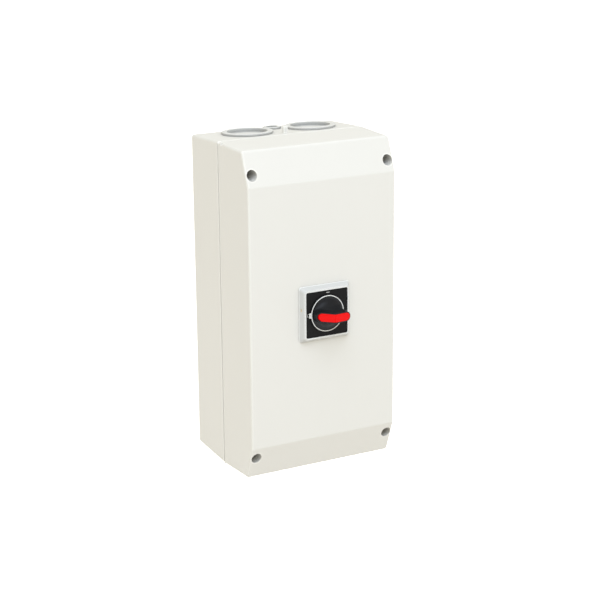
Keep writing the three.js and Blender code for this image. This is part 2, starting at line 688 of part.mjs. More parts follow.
const SKIRT_AT = INLAY_FACE + FIT;
const SKIRT_TO = SKIRT_AT + SKIRT.thickness;
const STEM_FROM = DEPTH - WALL - STEM.behindCover;
const STEM_TO = SKIRT_AT + STEM.inKnob;
const SHAFT_TO = DEPTH + SHAFT.pastFront;

// The grip's outline seen from above, as x and distance.
function gripOutline() {
  const shape = new THREE.Shape();
  const heel = INLAY_FACE + GRIP.heel;
  const crest = INLAY_FACE + GRIP.crest;
  const tip = crest - GRIP.tipDrop;
  shape.moveTo(GRIP.left, SKIRT_AT);
  shape.lineTo(GRIP.right, SKIRT_AT);
  shape.quadraticCurveTo(GRIP.right - GRIP.lean, (SKIRT_AT + tip) / 2, GRIP.tip + 1, tip - GRIP.tipRound);
  shape.quadraticCurveTo(GRIP.tip, tip, GRIP.tip - GRIP.tipRound, tip);
  shape.lineTo(GRIP.kink, crest);
  shape.lineTo(GRIP.left, heel);
  shape.closePath();
  return shape;
}

// Distance of the grip's crest at x, before its tip is rounded.
function crestAt(x) {
  const heel = INLAY_FACE + GRIP.heel;
  const crest = INLAY_FACE + GRIP.crest;
  const { lerp } = THREE.MathUtils;
  if (x < GRIP.kink) return lerp(heel, crest, (x - GRIP.left) / (GRIP.kink - GRIP.left));
  return lerp(crest, crest - GRIP.tipDrop, (x - GRIP.kink) / (GRIP.tip - GRIP.kink));
}

// The padlock slide's strip along the crest, pointed at the heel and round at the tip.
function slideStrip(grow, above) {
  const left = GRIP.left + SLIDE.margin - grow;
  const right = GRIP.tip - SLIDE.margin / 2 + grow;
  const half = SLIDE.width / 2 + grow;
  const side = new THREE.Shape();
  side.moveTo(left, crestAt(left) + above);
  side.lineTo(GRIP.kink, crestAt(GRIP.kink) + above);
  side.lineTo(right, crestAt(right) + above);
  side.lineTo(right, crestAt(right) - SLIDE.thickness - grow);
  side.lineTo(GRIP.kink, crestAt(GRIP.kink) - SLIDE.thickness - grow);
  side.lineTo(left, crestAt(left) - SLIDE.thickness - grow);
  side.closePath();
  const plan = new THREE.Shape();
  plan.moveTo(left, 0);
  plan.lineTo(left + SLIDE.point, -half);
  plan.lineTo(right - half, -half);
  plan.absarc(right - half, 0, half, -Math.PI / 2, Math.PI / 2);
  plan.lineTo(left + SLIDE.point, half);
  plan.closePath();
  const planTo = crestAt(GRIP.kink) + 2 * above + CUT;
  return topPrism(side, 2 * GRIP.width).intersect(prism(plan, SKIRT_AT, planTo, 10));
}

function slideWeb(grow) {
  const to = crestAt(SLIDE.to) - SLIDE.thickness / 2;
  const length = SLIDE.to - SLIDE.from + 2 * grow;
  return block(length, SLIDE.web + 2 * grow, to - SLIDE.webDepth - grow, to, (SLIDE.from + SLIDE.to) / 2);
}

function padlockSlide() {
  const hole = new THREE.CylinderGeometry(PADLOCK_HOLE.radius, PADLOCK_HOLE.radius, GRIP.width, SMALL);
  hole.rotateX(Math.PI / 2).translate(PADLOCK_HOLE.x, -(INLAY_FACE + GRIP.crest - PADLOCK_HOLE.below), 0);
  return joined(slideStrip(0, SLIDE.proud), slideWeb(0)).subtract(solid(hole));
}

// The pointer ring's flat ring and its tab, grown all round.
function pointerForm(grow, from, to) {
  const outer = POINTER.outer + grow;
  const tab = block(POINTER.tab + outer - POINTER.inner, POINTER.tabWidth + 2 * grow, from, to,
    -(outer + POINTER.tab + POINTER.inner) / 2);
  const flatRing = ring(outer, POINTER.inner - grow, from, to, ROUND);
  return flatRing.add(tab.subtract(rod(POINTER.inner + grow, from - CUT, to + CUT)));
}

const POINTER_AT = SKIRT_TO - POINTER.sunk;

function knob() {
  const flank = [[0, SKIRT_AT], [COVE.radius, SKIRT_AT]];
  for (let step = 0; step <= COVE.steps; step += 1) {
    const angle = (step / COVE.steps) * Math.PI / 2;
    const radius = THREE.MathUtils.lerp(COVE.radius, COVE.top, Math.sin(angle));
    flank.push([radius, SKIRT_TO + COVE.height * (1 - Math.cos(angle))]);
  }
  flank.push([0, SKIRT_TO + COVE.height]);
  const plan = roundedRectangle(GRIP.right - GRIP.left, GRIP.width, GRIP.width / 2 - 0.1);
  const length = (GRIP.left + GRIP.right) / 2;
  const top = INLAY_FACE + GRIP.crest + CUT;
  const grip = topPrism(gripOutline(), GRIP.width)
    .intersect(prism(plan, SKIRT_AT, top, 8).translate([length, 0, 0]));
  return joined(rod(SKIRT.radius, SKIRT_AT, SKIRT_TO, 0, 0, ROUND), turned(flank, ROUND), grip)
    .subtract(pointerForm(FIT, POINTER_AT - FIT, SKIRT_TO + CUT))
    .subtract(rod(STEM.radius + FIT, SKIRT_AT - CUT, STEM_TO + FIT))
    .subtract(slideStrip(FIT, SLIDE.slotAbove))
    .subtract(slideWeb(FIT));
}

const CLIP_TO = DEPTH - WALL - FIT;

function knobStem() {
  const socket = SHAFT.size + 2 * FIT;
  const grooveFrom = CLIP_TO - CLIP.thickness - FIT;
  const groove = ring(STEM.radius + CUT, STEM.radius - CLIP.groove, grooveFrom, CLIP_TO + FIT);
  return rod(STEM.radius, STEM_FROM, STEM_TO)
    .subtract(block(socket, socket, STEM_FROM - CUT, SHAFT_TO + FIT))
    .subtract(groove);
}

function stemClip() {
  const inner = STEM.radius - CLIP.groove + FIT;
  return ring(CLIP.outer, inner, CLIP_TO - CLIP.thickness, CLIP_TO)
    .subtract(block(CLIP.gap, 2 * CLIP.outer, CLIP_TO - 2 * CLIP.thickness, CLIP_TO + CUT, 0, -CLIP.outer));
}

function defeatScrew() {
  const { radius, length } = DEFEAT_SCREW;
  const shank = new THREE.CylinderGeometry(radius, radius, length, TINY).rotateZ(Math.PI / 2);
  const slot = new THREE.BoxGeometry(radius, 2 * radius + CUT, radius / 2);
  slot.translate(-length / 2, 0, 0);
  return solid(shank).subtract(solid(slot));
}

// The assembly

const PLACES = ['top_left', 'top_right', 'bottom_left', 'bottom_right'];
const SIDES = ['left', 'right'];

const enclosure = new THREE.Group();
enclosure.add(piece('base_housing', baseHousing(), 'shell'));
enclosure.add(piece('cover', coverStretch(-FLAT, FLAT), 'shell'));
enclosure.add(piece('cover_top_end', coverStretch(FLAT + FIT, HEIGHT), 'shell'));
enclosure.add(piece('cover_bottom_end', coverStretch(-HEIGHT, -FLAT - FIT), 'shell'));
enclosure.add(piece('cover_gasket', coverGasket(), 'rubber'));
corners(WELL.x, WELL.z).forEach(([x, z], i) => {
  const seat = -(WELL.floorAt + FIT);
  enclosure.add(piece(`cover_screw_${PLACES[i]}`, screw(COVER_SCREW), 'steel', x, seat, z));
});
for (const [end, endName] of [[1, 'top'], [-1, 'bottom']]) {
  for (const [name, entry, side] of ENTRIES) {
    const plug = piece(`${endName}_entry_plug_${name}`, entryPlug(entry), 'plug');
    plug.applyMatrix4(onEndWall(end, ENTRY_X + side * entry.offset, entry.at));
    enclosure.add(plug);
  }
}
enclosure.add(piece('mounting_plate', mountingPlate(), 'zinc'));
corners(BOSS.x, BOSS.z).forEach(([x, z], i) => {
  enclosure.add(piece(`plate_screw_${PLACES[i]}`, screw(PLATE_SCREW), 'steel', x, -(PLATE_TO + FIT), z));
});
enclosure.add(piece('earth_bar', earthBar(), 'brass', 0, 0, EARTH_BAR.z));
SIDES.forEach((name, i) => {
  const x = (2 * i - 1) * EARTH_BOSS.x;
  const y = -(EARTH_FROM + EARTH_BAR.height + FIT);
  enclosure.add(piece(`earth_screw_${name}`, screw(EARTH_SCREW), 'steel', x, y, EARTH_BAR.z));
});

const switchStack = new THREE.Group();
switchStack.position.z = AXIS_Z;
switchStack.add(piece('switch_foot', switchFoot(), 'moulded'));
for (let i = 0; i < POLES; i += 1) {
  const number = i + 1;
  const x = (i - (POLES - 1) / 2) * LUG.pitch;
  const deckFrom = DECKS_FROM + i * DECK_STEP;
  switchStack.add(piece(`contact_deck_${number}`, contactDeck(x), 'moulded', 0, -deckFrom));
  switchStack.add(piece(`line_contact_${number}`, fixedContact(x, 1), 'copper', 0, -deckFrom));
  switchStack.add(piece(`load_contact_${number}`, fixedContact(x, -1), 'copper', 0, -deckFrom));
  const blade = block(2 * BLADE.reach, BLADE.width, BLADE_AT, BLADE_AT + BLADE.thickness);
  switchStack.add(piece(`moving_contact_${number}`, blade, 'copper', 0, -deckFrom));
  const screwAt = -(deckFrom + STRIP.at + STRIP.thickness + FIT);
  switchStack.add(piece(`line_screw_${number}`, screw(TERMINAL), 'steel', x, screwAt, TERMINAL.z));
  switchStack.add(piece(`load_screw_${number}`, screw(TERMINAL), 'steel', x, screwAt, -TERMINAL.z));
}
switchStack.add(piece('mechanism_housing', mechanismHousing(), 'black'));
switchStack.add(piece('rotor', rotor(), 'pale'));
const springFrom = MECHANISM_FROM + CAM.from + CAM.depth + SPRING.wire + SPRING.gap;
switchStack.add(piece('snap_spring', snapSpring(), 'steel', 0, -springFrom));
SIDES.forEach((name, i) => {
  const seat = MECHANISM_TO + FIT;
  const bolt = screw({ ...STACK_BOLT, length: seat - PLATE_FROM + STACK_BOLT.nose });
  switchStack.add(piece(`stack_bolt_${name}`, bolt, 'steel', (2 * i - 1) * STACK_BOLT.x, -seat));
});
switchStack.add(piece('drive_shaft', block(SHAFT.size, SHAFT.size, SHAFT_FROM, SHAFT_TO), 'zinc'));

const handle = new THREE.Group();
handle.position.z = AXIS_Z;
handle.add(piece('handle_plate', handlePlate(), 'white'));
handle.add(piece('handle_gasket', handleGasket(), 'rubber'));
handle.add(piece('handle_inlay', inlay(), 'black'));
SIDES.forEach((name, i) => {
  const offset = (2 * i - 1) * HANDLE_SCREW.offset;
  const seat = -(DEPTH - WALL - FIT);
  const fixing = piece(`handle_screw_${name}`, screw(HANDLE_SCREW), 'steel', offset, seat, offset);
  fixing.rotation.x = Math.PI;
  handle.add(fixing);
});
handle.add(piece('defeat_screw', defeatScrew(), 'brass',
  -HANDLE_PLATE.base / 2 + DEFEAT_SCREW.wallSet + (DEFEAT_SCREW.sunk + DEFEAT_SCREW.length / 2),
  -(PLATE_AT + DEFEAT_SCREW.at), DEFEAT_SCREW.z));
handle.add(piece('stem_oring', stemOring(), 'rubber', 0, -(PLATE_AT + FIT + ORING.section)));
handle.add(piece('knob', knob(), 'grip'));
handle.add(piece('pointer_ring', pointerForm(0, POINTER_AT, POINTER_AT + POINTER.thickness), 'white'));
handle.add(piece('padlock_slide', padlockSlide(), 'red'));
handle.add(piece('knob_stem', knobStem(), 'black'));
handle.add(piece('stem_clip', stemClip(), 'zinc'));

const rotaryIsolator = new THREE.Group();
rotaryIsolator.add(enclosure, switchStack, handle);

export default rotaryIsolator;
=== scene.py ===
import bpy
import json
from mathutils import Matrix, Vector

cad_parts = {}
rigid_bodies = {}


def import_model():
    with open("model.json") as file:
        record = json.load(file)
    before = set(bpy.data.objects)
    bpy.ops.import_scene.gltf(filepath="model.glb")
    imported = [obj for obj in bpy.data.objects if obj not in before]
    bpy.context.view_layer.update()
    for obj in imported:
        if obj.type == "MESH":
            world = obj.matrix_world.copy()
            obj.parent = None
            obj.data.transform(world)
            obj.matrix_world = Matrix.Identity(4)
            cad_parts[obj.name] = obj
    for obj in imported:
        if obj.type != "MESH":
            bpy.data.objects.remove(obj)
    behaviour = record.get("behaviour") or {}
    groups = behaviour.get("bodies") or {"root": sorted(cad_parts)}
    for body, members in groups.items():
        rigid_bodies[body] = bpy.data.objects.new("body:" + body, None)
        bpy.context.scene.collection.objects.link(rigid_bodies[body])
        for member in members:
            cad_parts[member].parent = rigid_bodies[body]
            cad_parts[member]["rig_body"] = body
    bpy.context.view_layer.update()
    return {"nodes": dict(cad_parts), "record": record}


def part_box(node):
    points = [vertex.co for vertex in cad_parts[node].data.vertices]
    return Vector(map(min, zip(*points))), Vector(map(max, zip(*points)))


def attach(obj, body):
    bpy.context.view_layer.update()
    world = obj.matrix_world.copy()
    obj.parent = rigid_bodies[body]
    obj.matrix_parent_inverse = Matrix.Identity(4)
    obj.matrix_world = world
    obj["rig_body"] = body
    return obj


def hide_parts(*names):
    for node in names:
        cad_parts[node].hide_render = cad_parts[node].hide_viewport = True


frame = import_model()

import json
import math

import bpy
import numpy as np
from bpy.props import FloatProperty, FloatVectorProperty, PointerProperty
from mathutils import Matrix, Vector

bl_info = {
    "name": "Rotary Isolator Looks",
    "version": (1, 0, 0),
    "blender": (4, 5, 0),
    "location": "View3D > Sidebar > Isolator",
    "description": "Builds the detailed pieces and finishes of a rotary isolator switch over its frame",
    "category": "Object",
}

MM = 0.001
FIT = 0.3 * MM  # clearance between pieces that touch
CUT = 1 * MM  # how far a cutting shape runs past the surface it cuts
NEARLY_ZERO = 1e-6  # keeps a division away from zero


# Places of the frame's nodes


class Place:
    """Where a frame node lies: its x and z limits and its distances out from the wall."""

    def __init__(self, node):
        low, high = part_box(node)
        self.left, self.right = low.x, high.x
        self.bottom, self.top = low.z, high.z
        self.back, self.front = -high.y, -low.y
        self.x = (low.x + high.x) / 2
        self.z = (low.z + high.z) / 2
        self.width = high.x - low.x
        self.height = high.z - low.z


NODES = sorted(frame["nodes"])
CORNERS = ("top_left", "top_right", "bottom_left", "bottom_right")
PLUGS = [node for node in NODES if "entry_plug" in node]
BASE = Place("base_housing")
COVER = Place("cover")
SEAL = Place("cover_gasket")
PLATE = Place("handle_plate")
INLAY = Place("handle_inlay")
KNOB = Place("knob")
RING = Place("pointer_ring")
SLIDE = Place("padlock_slide")
STEM = Place("knob_stem")
AXIS_Z = PLATE.z
RIM_AT = SEAL.back - FIT
COVER_HALF = Place("cover_top_end").top
SKIRT_RADIUS = KNOB.width / 2
INLAY_FACE = INLAY.front
SLIDE_HEEL = 19.4 * MM  # how far left of the axis the grip's pointed heel reaches
SLIDE_THICK = 3.6 * MM
WEB_X, WEB_WIDTH, WEB_THICK = 5.5 * MM, 14 * MM, 3.6 * MM  # the slide's web that takes the padlock
WEB_LOW = 11.1 * MM  # the web's foot over the inlay
STEM_HOLE = 8.7 * MM  # radius of the hole for the stem in the cover and the plate
LATCHES_AT = (-14 * MM, 14 * MM)  # heights of the inlay's latches over the axis


# Outlines and profiles


def outline(width, height, radius, x=0.0, z=0.0, steps=6):
    """A rectangle's outline with round corners, counter-clockwise from the front.

    Each corner is an arc of a quarter turn about a centre one radius in from both sides.
    """
    angles = np.linspace(0, np.pi / 2, steps + 1)
    turns = np.concatenate([angles + quarter * np.pi / 2 for quarter in range(4)])
    side = np.repeat([[1, 1], [-1, 1], [-1, -1], [1, -1]], steps + 1, axis=0)
    centre = side * [width / 2 - radius, height / 2 - radius]
    return centre + radius * np.stack([np.cos(turns), np.sin(turns)], -1) + [x, z]


def circle(radius, sides, x=0.0, z=0.0):
    """Points on a circle, counter-clockwise from the front."""
    turn = np.arange(sides) * 2 * np.pi / sides
    return np.stack([x + radius * np.cos(turn), z + radius * np.sin(turn)], -1)


def polar(radius_of, sides, x=0.0, z=0.0):
    """Points whose distance from (x, z) is a function of their angle."""
    turn = np.arange(sides) * 2 * np.pi / sides
    radius = radius_of(turn)
    return np.stack([x + radius * np.cos(turn), z + radius * np.sin(turn)], -1)


def softened(points, radii, steps=3):
    """A line of points with its inner corners rounded.

    At a corner of angle a, an arc of radius r leaves each side at r / tan(a / 2) from the corner.
    """
    points = [np.array(point, float) for point in points]
    radii = [0.0, *(radii if np.ndim(radii) else [radii] * (len(points) - 2)), 0.0]
    line = [points[0]]
    for before, corner, after, radius in zip(points, points[1:], points[2:], radii[1:]):
        back, on = before - corner, after - corner
        back_length, on_length = np.linalg.norm(back), np.linalg.norm(on)
        back, on = back / back_length, on / on_length
        half = math.acos(np.clip(back @ on, -1, 1)) / 2
        reach = min(radius / math.tan(half), 0.49 * back_length, 0.49 * on_length)
        if reach < 1e-7 or half > 1.56:
            line.append(corner)
            continue
        fitted = reach * math.tan(half)
        centre = corner + (back + on) / np.linalg.norm(back + on) * fitted / math.sin(half)
        first, last = corner + back * reach - centre, corner + on * reach - centre
        sweep = math.pi - 2 * half
        share = np.linspace(0, 1, steps + 1)[:, None]
        arc = (np.sin((1 - share) * sweep) * first + np.sin(share * sweep) * last) / math.sin(sweep)
        line.extend(centre + arc)
    line.append(points[-1])
    return np.array(line)


def standing(points, distance):
    """Outline points (x, z) as points in space at a distance, or at one distance each."""
    points = np.asarray(points, float)
    depth = np.broadcast_to(-np.asarray(distance, float), len(points))
    return np.stack([points[:, 0], depth, points[:, 1]], -1)


def turned_rings(profile, sides, x=0.0, z=0.0):
    """A profile of (radius, distance) turned about an axis that runs out from the wall."""
    profile = np.asarray(profile, float)
    turn = np.arange(sides) * 2 * np.pi / sides
    radius, distance = profile[:, :1], profile[:, 1:]
    return np.stack(
        [
            x + radius * np.cos(turn),
            np.broadcast_to(-distance, (len(profile), sides)),
            z + radius * np.sin(turn),
        ],
        -1,
    )


def framed_rings(profile, outline_at):
    """A profile of (inset, distance) carried round an outline that may change with both."""
    return np.array([standing(outline_at(inset, distance), distance) for inset, distance in profile])


# Mesh building


class Form:
    """Points and faces of one or more closed shells that make up a piece."""

    def __init__(self):
        self.points = np.zeros((0, 3))
        self.faces = []

    def add(self, rings, closed=False, inward=False):
        """Joins ring i's point j to ring i + 1's point j with four-sided faces.

        Rings run counter-clockwise from the front and come forward, so faces point out; inward
        turns them round. The two end rings become flat faces, unless the last joins the first.
        """
        rings = np.asarray(rings, float)
        count, sides, _ = rings.shape
        first = len(self.points)
        row = np.arange(count if closed else count - 1)[:, None]
        column = np.arange(sides)[None, :]
        ahead, across = (row + 1) % count * sides, (column + 1) % sides
        quads = np.stack(
            [row * sides + column, row * sides + across, ahead + across, ahead + column], -1
        ).reshape(-1, 4)
        faces = quads.tolist()
        if not closed:
            faces.append(list(range(sides))[::-1])
            faces.append([(count - 1) * sides + index for index in range(sides)])
        if inward:
            faces = [face[::-1] for face in faces]
        self.faces += [[first + index for index in face] for face in faces]
        self.points = np.concatenate([self.points, rings.reshape(-1, 3)])
        return self

    def moved(self, matrix):
        """Carries every point so far by a 4 by 4 matrix."""
        turn, shift = np.array(matrix)[:3, :3], np.array(matrix)[:3, 3]
        self.points = self.points @ turn.T + shift
        return self


def mesh_object(name, form):
    mesh = bpy.data.meshes.new(name)
    mesh.from_pydata(form.points.tolist(), [], form.faces)
    mesh.update()
    piece = bpy.data.objects.new(name, mesh)
    bpy.context.scene.collection.objects.link(piece)
    return piece


def settled(piece):
    """Makes a piece's modifiers part of its mesh."""
    depsgraph = bpy.context.evaluated_depsgraph_get()
    depsgraph.update()
    mesh = bpy.data.meshes.new_from_object(piece.evaluated_get(depsgraph))
    old = piece.data
    piece.modifiers.clear()
    piece.data = mesh
    mesh.name = piece.name
    bpy.data.meshes.remove(old)
    return piece


def cut_away(piece, form, keep=False):
    """Takes the form's solid out of the piece; keep joins it on instead."""
    tool = mesh_object(piece.name + "_tool", form)
    modifier = piece.modifiers.new("cut", "BOOLEAN")
    modifier.object = tool
    modifier.operation = "UNION" if keep else "DIFFERENCE"
    modifier.solver = "EXACT"
    settled(piece)
    mesh = tool.data
    bpy.data.objects.remove(tool)
    bpy.data.meshes.remove(mesh)
    return piece


def finished(piece, material, body, nodes, sharp_above=32):
    """Shades a piece, gives it its finish and ties it to the frame."""
    mesh = piece.data
    mesh.materials.clear()
    mesh.materials.append(material)
    mesh.polygons.foreach_set("use_smooth", np.ones(len(mesh.polygons), bool))
    mesh.set_sharp_from_angle(angle=math.radians(sharp_above))
    modifier = piece.modifiers.new("even shading", "WEIGHTED_NORMAL")
    modifier.keep_sharp = True
    modifier.weight = 80
    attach(piece, body)
    if nodes:
        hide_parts(*nodes)
    return piece


def body_of(node):
    return frame["nodes"][node]["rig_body"]


# Material wiring


class Wire:
    """A value on its way through a material; its arithmetic adds Math nodes."""

    def __init__(self, finish, socket):
        self.finish, self.socket = finish, socket

    def math(self, operation, first, second):
        return self.finish.node("ShaderNodeMath", {"operation": operation}, {0: first, 1: second})

    def __add__(self, other):
        return self.math("ADD", self, other)

    def __radd__(self, other):
        return self.math("ADD", other, self)

    def __sub__(self, other):
        return self.math("SUBTRACT", self, other)

    def __rsub__(self, other):
        return self.math("SUBTRACT", other, self)

    def __mul__(self, other):
        return self.math("MULTIPLY", self, other)

    def __rmul__(self, other):
        return self.math("MULTIPLY", other, self)


class Finish:
    """A material being wired, with the few nodes that its recipes share."""

    def __init__(self, name, kinds=None):
        self.material = (bpy.data.materials if kinds is None else kinds).new(name)
        self.material.use_nodes = True
        self.tree = self.material.node_tree
        self.tree.nodes.clear()

    def node(self, kind, settings=None, inputs=None, output=0):
        """Adds a node, with its settings first and then its sockets' values or links."""
        node = self.tree.nodes.new(kind)
        for name, value in (settings or {}).items():
            setattr(node, name, value)
        for name, value in (inputs or {}).items():
            if isinstance(value, Wire):
                self.tree.links.new(value.socket, node.inputs[name])
            else:
                node.inputs[name].default_value = value
        return Wire(self, node.outputs[output])

    def place(self, stretch=(1, 1, 1)):
        """Object coordinates, stretched along each axis."""
        coordinates = self.node("ShaderNodeTexCoord", output="Object")
        return self.node("ShaderNodeMapping", inputs={"Vector": coordinates, "Scale": stretch})

    def noise(self, place, size, detail=2.0, roughness=0.5):
        """Noise whose blotches are about one size across, in metres."""
        inputs = {"Vector": place, "Scale": 1 / size, "Detail": detail, "Roughness": roughness}
        return self.node("ShaderNodeTexNoise", inputs=inputs)

    def ramp(self, value, low, high):
        """A smooth step from 0 at low to 1 at high."""
        settings = {"interpolation_type": "SMOOTHSTEP"}
        inputs = {"Value": value, "From Min": low, "From Max": high}
        return self.node("ShaderNodeMapRange", settings, inputs)

    def blend(self, share, first, second):
        """A colour between two colours."""
        inputs = {0: share, 6: first, 7: second}
        return self.node("ShaderNodeMix", {"data_type": "RGBA"}, inputs, output=2)

    def edges(self, radius):
        """1 near a convex or concave edge, within about a radius, and 0 on plain faces."""
        round_normal = self.node("ShaderNodeBevel", {"samples": 6}, {"Radius": radius})
        plain_normal = self.node("ShaderNodeNewGeometry", output="Normal")
        inputs = {0: round_normal, 1: plain_normal}
        same = self.node("ShaderNodeVectorMath", {"operation": "DOT_PRODUCT"}, inputs, output="Value")
        return self.ramp(1 - same, 0.002, 0.03)

    def hollows(self, reach):
        """1 deep in corners and wells, within about a reach, and 0 in the open."""
        inputs = {"Distance": reach}
        open_share = self.node("ShaderNodeAmbientOcclusion", {"samples": 6}, inputs, output="AO")
        return 1 - self.ramp(open_share, 0.3, 1.0)

    def bumps(self, height, depth, under=None):
        """A bumped normal from heights of 0 to 1 that span a depth in metres."""
        inputs = {"Height": height, "Distance": depth, "Strength": 1.0}
        if under:
            inputs["Normal"] = under
        return self.node("ShaderNodeBump", inputs=inputs)

    def done(self, colour, roughness, normal, **constants):
        """Joins the recipe to one Principled shader; constants are set on its own sockets."""
        inputs = {"Base Color": colour, "Roughness": roughness, "Normal": normal}
        inputs.update({name.replace("_", " "): value for name, value in constants.items()})
        shader = self.node("ShaderNodeBsdfPrincipled", inputs=inputs)
        output = self.tree.nodes.new("ShaderNodeOutputMaterial")
        self.tree.links.new(shader.socket, output.inputs["Surface"])
        return self.material


def shaded(colour, share):
    """A colour made lighter (share above 1) or darker, as red, green, blue and alpha."""
    return (*(min(channel * share, 1.0) for channel in colour[:3]), 1.0)


def moulded_plastic(
    name, colour, roughness, grain, depth, mottle, edge_highlight, gloss=0.5, edge_reach=0.8 * MM, painted_shade=0.0
):
    """Moulded plastic: faint mottling, an eroded grain, a painted highlight on the edges and painted
    shade in hollows.

    Grain is the size of its blotches and depth their height; mottle, gloss and the strengths of the
    painted edge highlight and the painted shade in hollows are shares, and edge_reach is how far the
    painted edge highlight reaches.
    """
    finish = Finish(name)
    place = finish.place()
    broad = finish.noise(place, 60 * MM, 3.0)
    flow = finish.noise(finish.place((1, 1, 0.35)), 14 * MM, 2.0)
    fine = finish.noise(place, grain, 3.0, 0.6)
    speck = finish.ramp(finish.noise(place, 4 * grain, 2.0), 0.58, 0.74)
    edge = finish.edges(edge_reach) * (0.5 + 0.5 * broad)
    base = finish.blend(broad, shaded(colour, 1 - mottle), shaded(colour, 1 + mottle / 2))
    streaked = finish.blend(flow * 0.35, base, shaded(colour, 1 - 1.4 * mottle))
    dotted = finish.blend(speck * 0.25, streaked, shaded(colour, 1 - 2 * mottle))
    # Painted shade: the colour darkens towards a third of itself in hollows, wells and round raised
    # parts, where shade and contact shadows fall.
    with_painted_shade = finish.blend(finish.hollows(12 * MM) * painted_shade, dotted, shaded(colour, 0.35))
    # Painted highlight: the colour turns paler along edges, where rounded edges would catch the light.
    with_edge_highlight = finish.blend(edge * edge_highlight * 6, with_painted_shade, shaded(colour, 1 + 2 * edge_highlight))
    rough = roughness + 0.10 * (broad - 0.5) + 0.08 * (fine - 0.5) - 0.10 * edge
    waves = finish.bumps(flow, depth * 0.6)
    normal = finish.bumps(fine, depth, waves)
    return finish.done(with_edge_highlight, rough, normal, Specular_IOR_Level=gloss)


def plated_metal(name, colour, roughness, brush=(1, 1, 1), tarnish=0.15, depth=0.01 * MM):
    """Plated or bare metal: brushed lines, cloudy tarnish and brighter edges."""
    finish = Finish(name)
    place = finish.place()
    cloud = finish.noise(place, 7 * MM, 4.0, 0.6)
    lines = finish.noise(finish.place(brush), 0.5 * MM, 3.0, 0.7)
    spots = finish.ramp(finish.noise(place, 1.2 * MM, 2.0), 0.62, 0.8)
    edge = finish.edges(0.4 * MM)
    base = finish.blend(cloud, shaded(colour, 1 - tarnish), shaded(colour, 1 + tarnish / 2))
    stained = finish.blend(spots * 0.3, base, shaded(colour, 1 - 2 * tarnish))
    bright = finish.blend(edge * 0.5, stained, shaded(colour, 1.25))
    rough = roughness + 0.18 * (cloud - 0.5) + 0.14 * (lines - 0.5) - 0.08 * edge
    return finish.done(bright, rough, finish.bumps(lines, depth), Metallic=1.0)


def spangled_zinc(name, colour, roughness):
    """Hot-dip zinc sheet: crystals a few millimetres across that differ in tone and gloss."""
    finish = Finish(name)
    place = finish.place((1, 0.2, 1))
    inputs = {"Vector": place, "Scale": 1 / (5 * MM), "Randomness": 1.0}
    crystal = finish.node("ShaderNodeTexVoronoi", {"feature": "F1"}, inputs, output="Color")
    split = finish.node("ShaderNodeSeparateColor", inputs={"Color": crystal})
    grain = finish.noise(finish.place((1, 1, 6)), 0.8 * MM, 3.0)
    edge = finish.edges(0.4 * MM)
    tone = finish.blend(split, shaded(colour, 0.84), shaded(colour, 1.1))
    streaks = finish.blend(grain * 0.3, tone, shaded(colour, 0.8))
    bright = finish.blend(edge * 0.5, streaks, shaded(colour, 1.3))
    rough = roughness + 0.16 * (split - 0.5) + 0.1 * (grain - 0.5)
    return finish.done(bright, rough, finish.bumps(grain, 0.008 * MM), Metallic=1.0)


def foam_rubber(name, colour):
    """Cellular sealing rubber: open pores, powdery pale high spots and no gloss."""
    finish = Finish(name)
    place = finish.place()
    inputs = {"Vector": place, "Scale": 1 / (0.7 * MM), "Randomness": 1.0}
    cells = finish.node("ShaderNodeTexVoronoi", {"feature": "F1"}, inputs, output="Distance")
    pores = finish.ramp(cells, 0.1, 0.55)
    cloud = finish.noise(place, 9 * MM, 3.0)
    base = finish.blend(cloud, shaded(colour, 0.88), shaded(colour, 1.1))
    pored = finish.blend(pores, shaded(colour, 0.7), base)
    rough = 0.82 + 0.12 * (cloud - 0.5)
    return finish.done(pored, rough, finish.bumps(pores, 0.06 * MM), Specular_IOR_Level=0.25)


# Each slot's recipe, its colour setting and the recipe's own figures in their order
RECIPES = {
    "enclosure_plastic": (
        moulded_plastic,
        "enclosure",
        *(0.5, 0.45 * MM, 0.012 * MM, 0.012, 0.15, 0.5, 2.4 * MM, 0.3),
    ),
    "plug_plastic": (
        moulded_plastic,
        "plugs",
        *(0.55, 0.5 * MM, 0.015 * MM, 0.02, 0.08, 0.4, 0.8 * MM, 1.0),
    ),
    "handle_white": (
        moulded_plastic,
        "handle_plate",
        *(0.35, 0.35 * MM, 0.008 * MM, 0.015, 0.3, 0.5, 1.8 * MM),
    ),
    "handle_black": (moulded_plastic, "inlay", 0.55, 0.3 * MM, 0.02 * MM, 0.08, 0.1, 0.08),
    "knob_black": (moulded_plastic, "knob", 0.42, 0.3 * MM, 0.012 * MM, 0.1, 0.15, 0.18),
    "slide_red": (moulded_plastic, "slide", 0.38, 0.35 * MM, 0.006 * MM, 0.03, 0.02, 0.12),
    "seal_rubber": (foam_rubber, "seals"),
    "plated_steel": (spangled_zinc, "sheet", 0.38),
    "screw_steel": (plated_metal, "screws", 0.34, (1, 1, 5)),
    "brass": (plated_metal, "brass", 0.32, (0.15, 1, 1), 0.2),
    "copper": (plated_metal, "copper", 0.34, (0.2, 1, 1), 0.25),
    "switch_plastic": (moulded_plastic, "decks", 0.6, 0.6 * MM, 0.03 * MM, 0.1, 0.25),
    "mechanism_plastic": (moulded_plastic, "mechanism", 0.55, 0.6 * MM, 0.03 * MM, 0.12, 0.3),
    "rotor_plastic": (moulded_plastic, "rotor", 0.5, 0.5 * MM, 0.02 * MM, 0.05, 0.06),
}


def finish_named(slot, colours):
    """The finish of one of the record's material slots, made once."""
    name = f"{slot}_finish"
    if name in bpy.data.materials:
        return bpy.data.materials[name]
    recipe, setting, *figures = RECIPES[slot]
    return recipe(name, getattr(colours, setting), *figures)


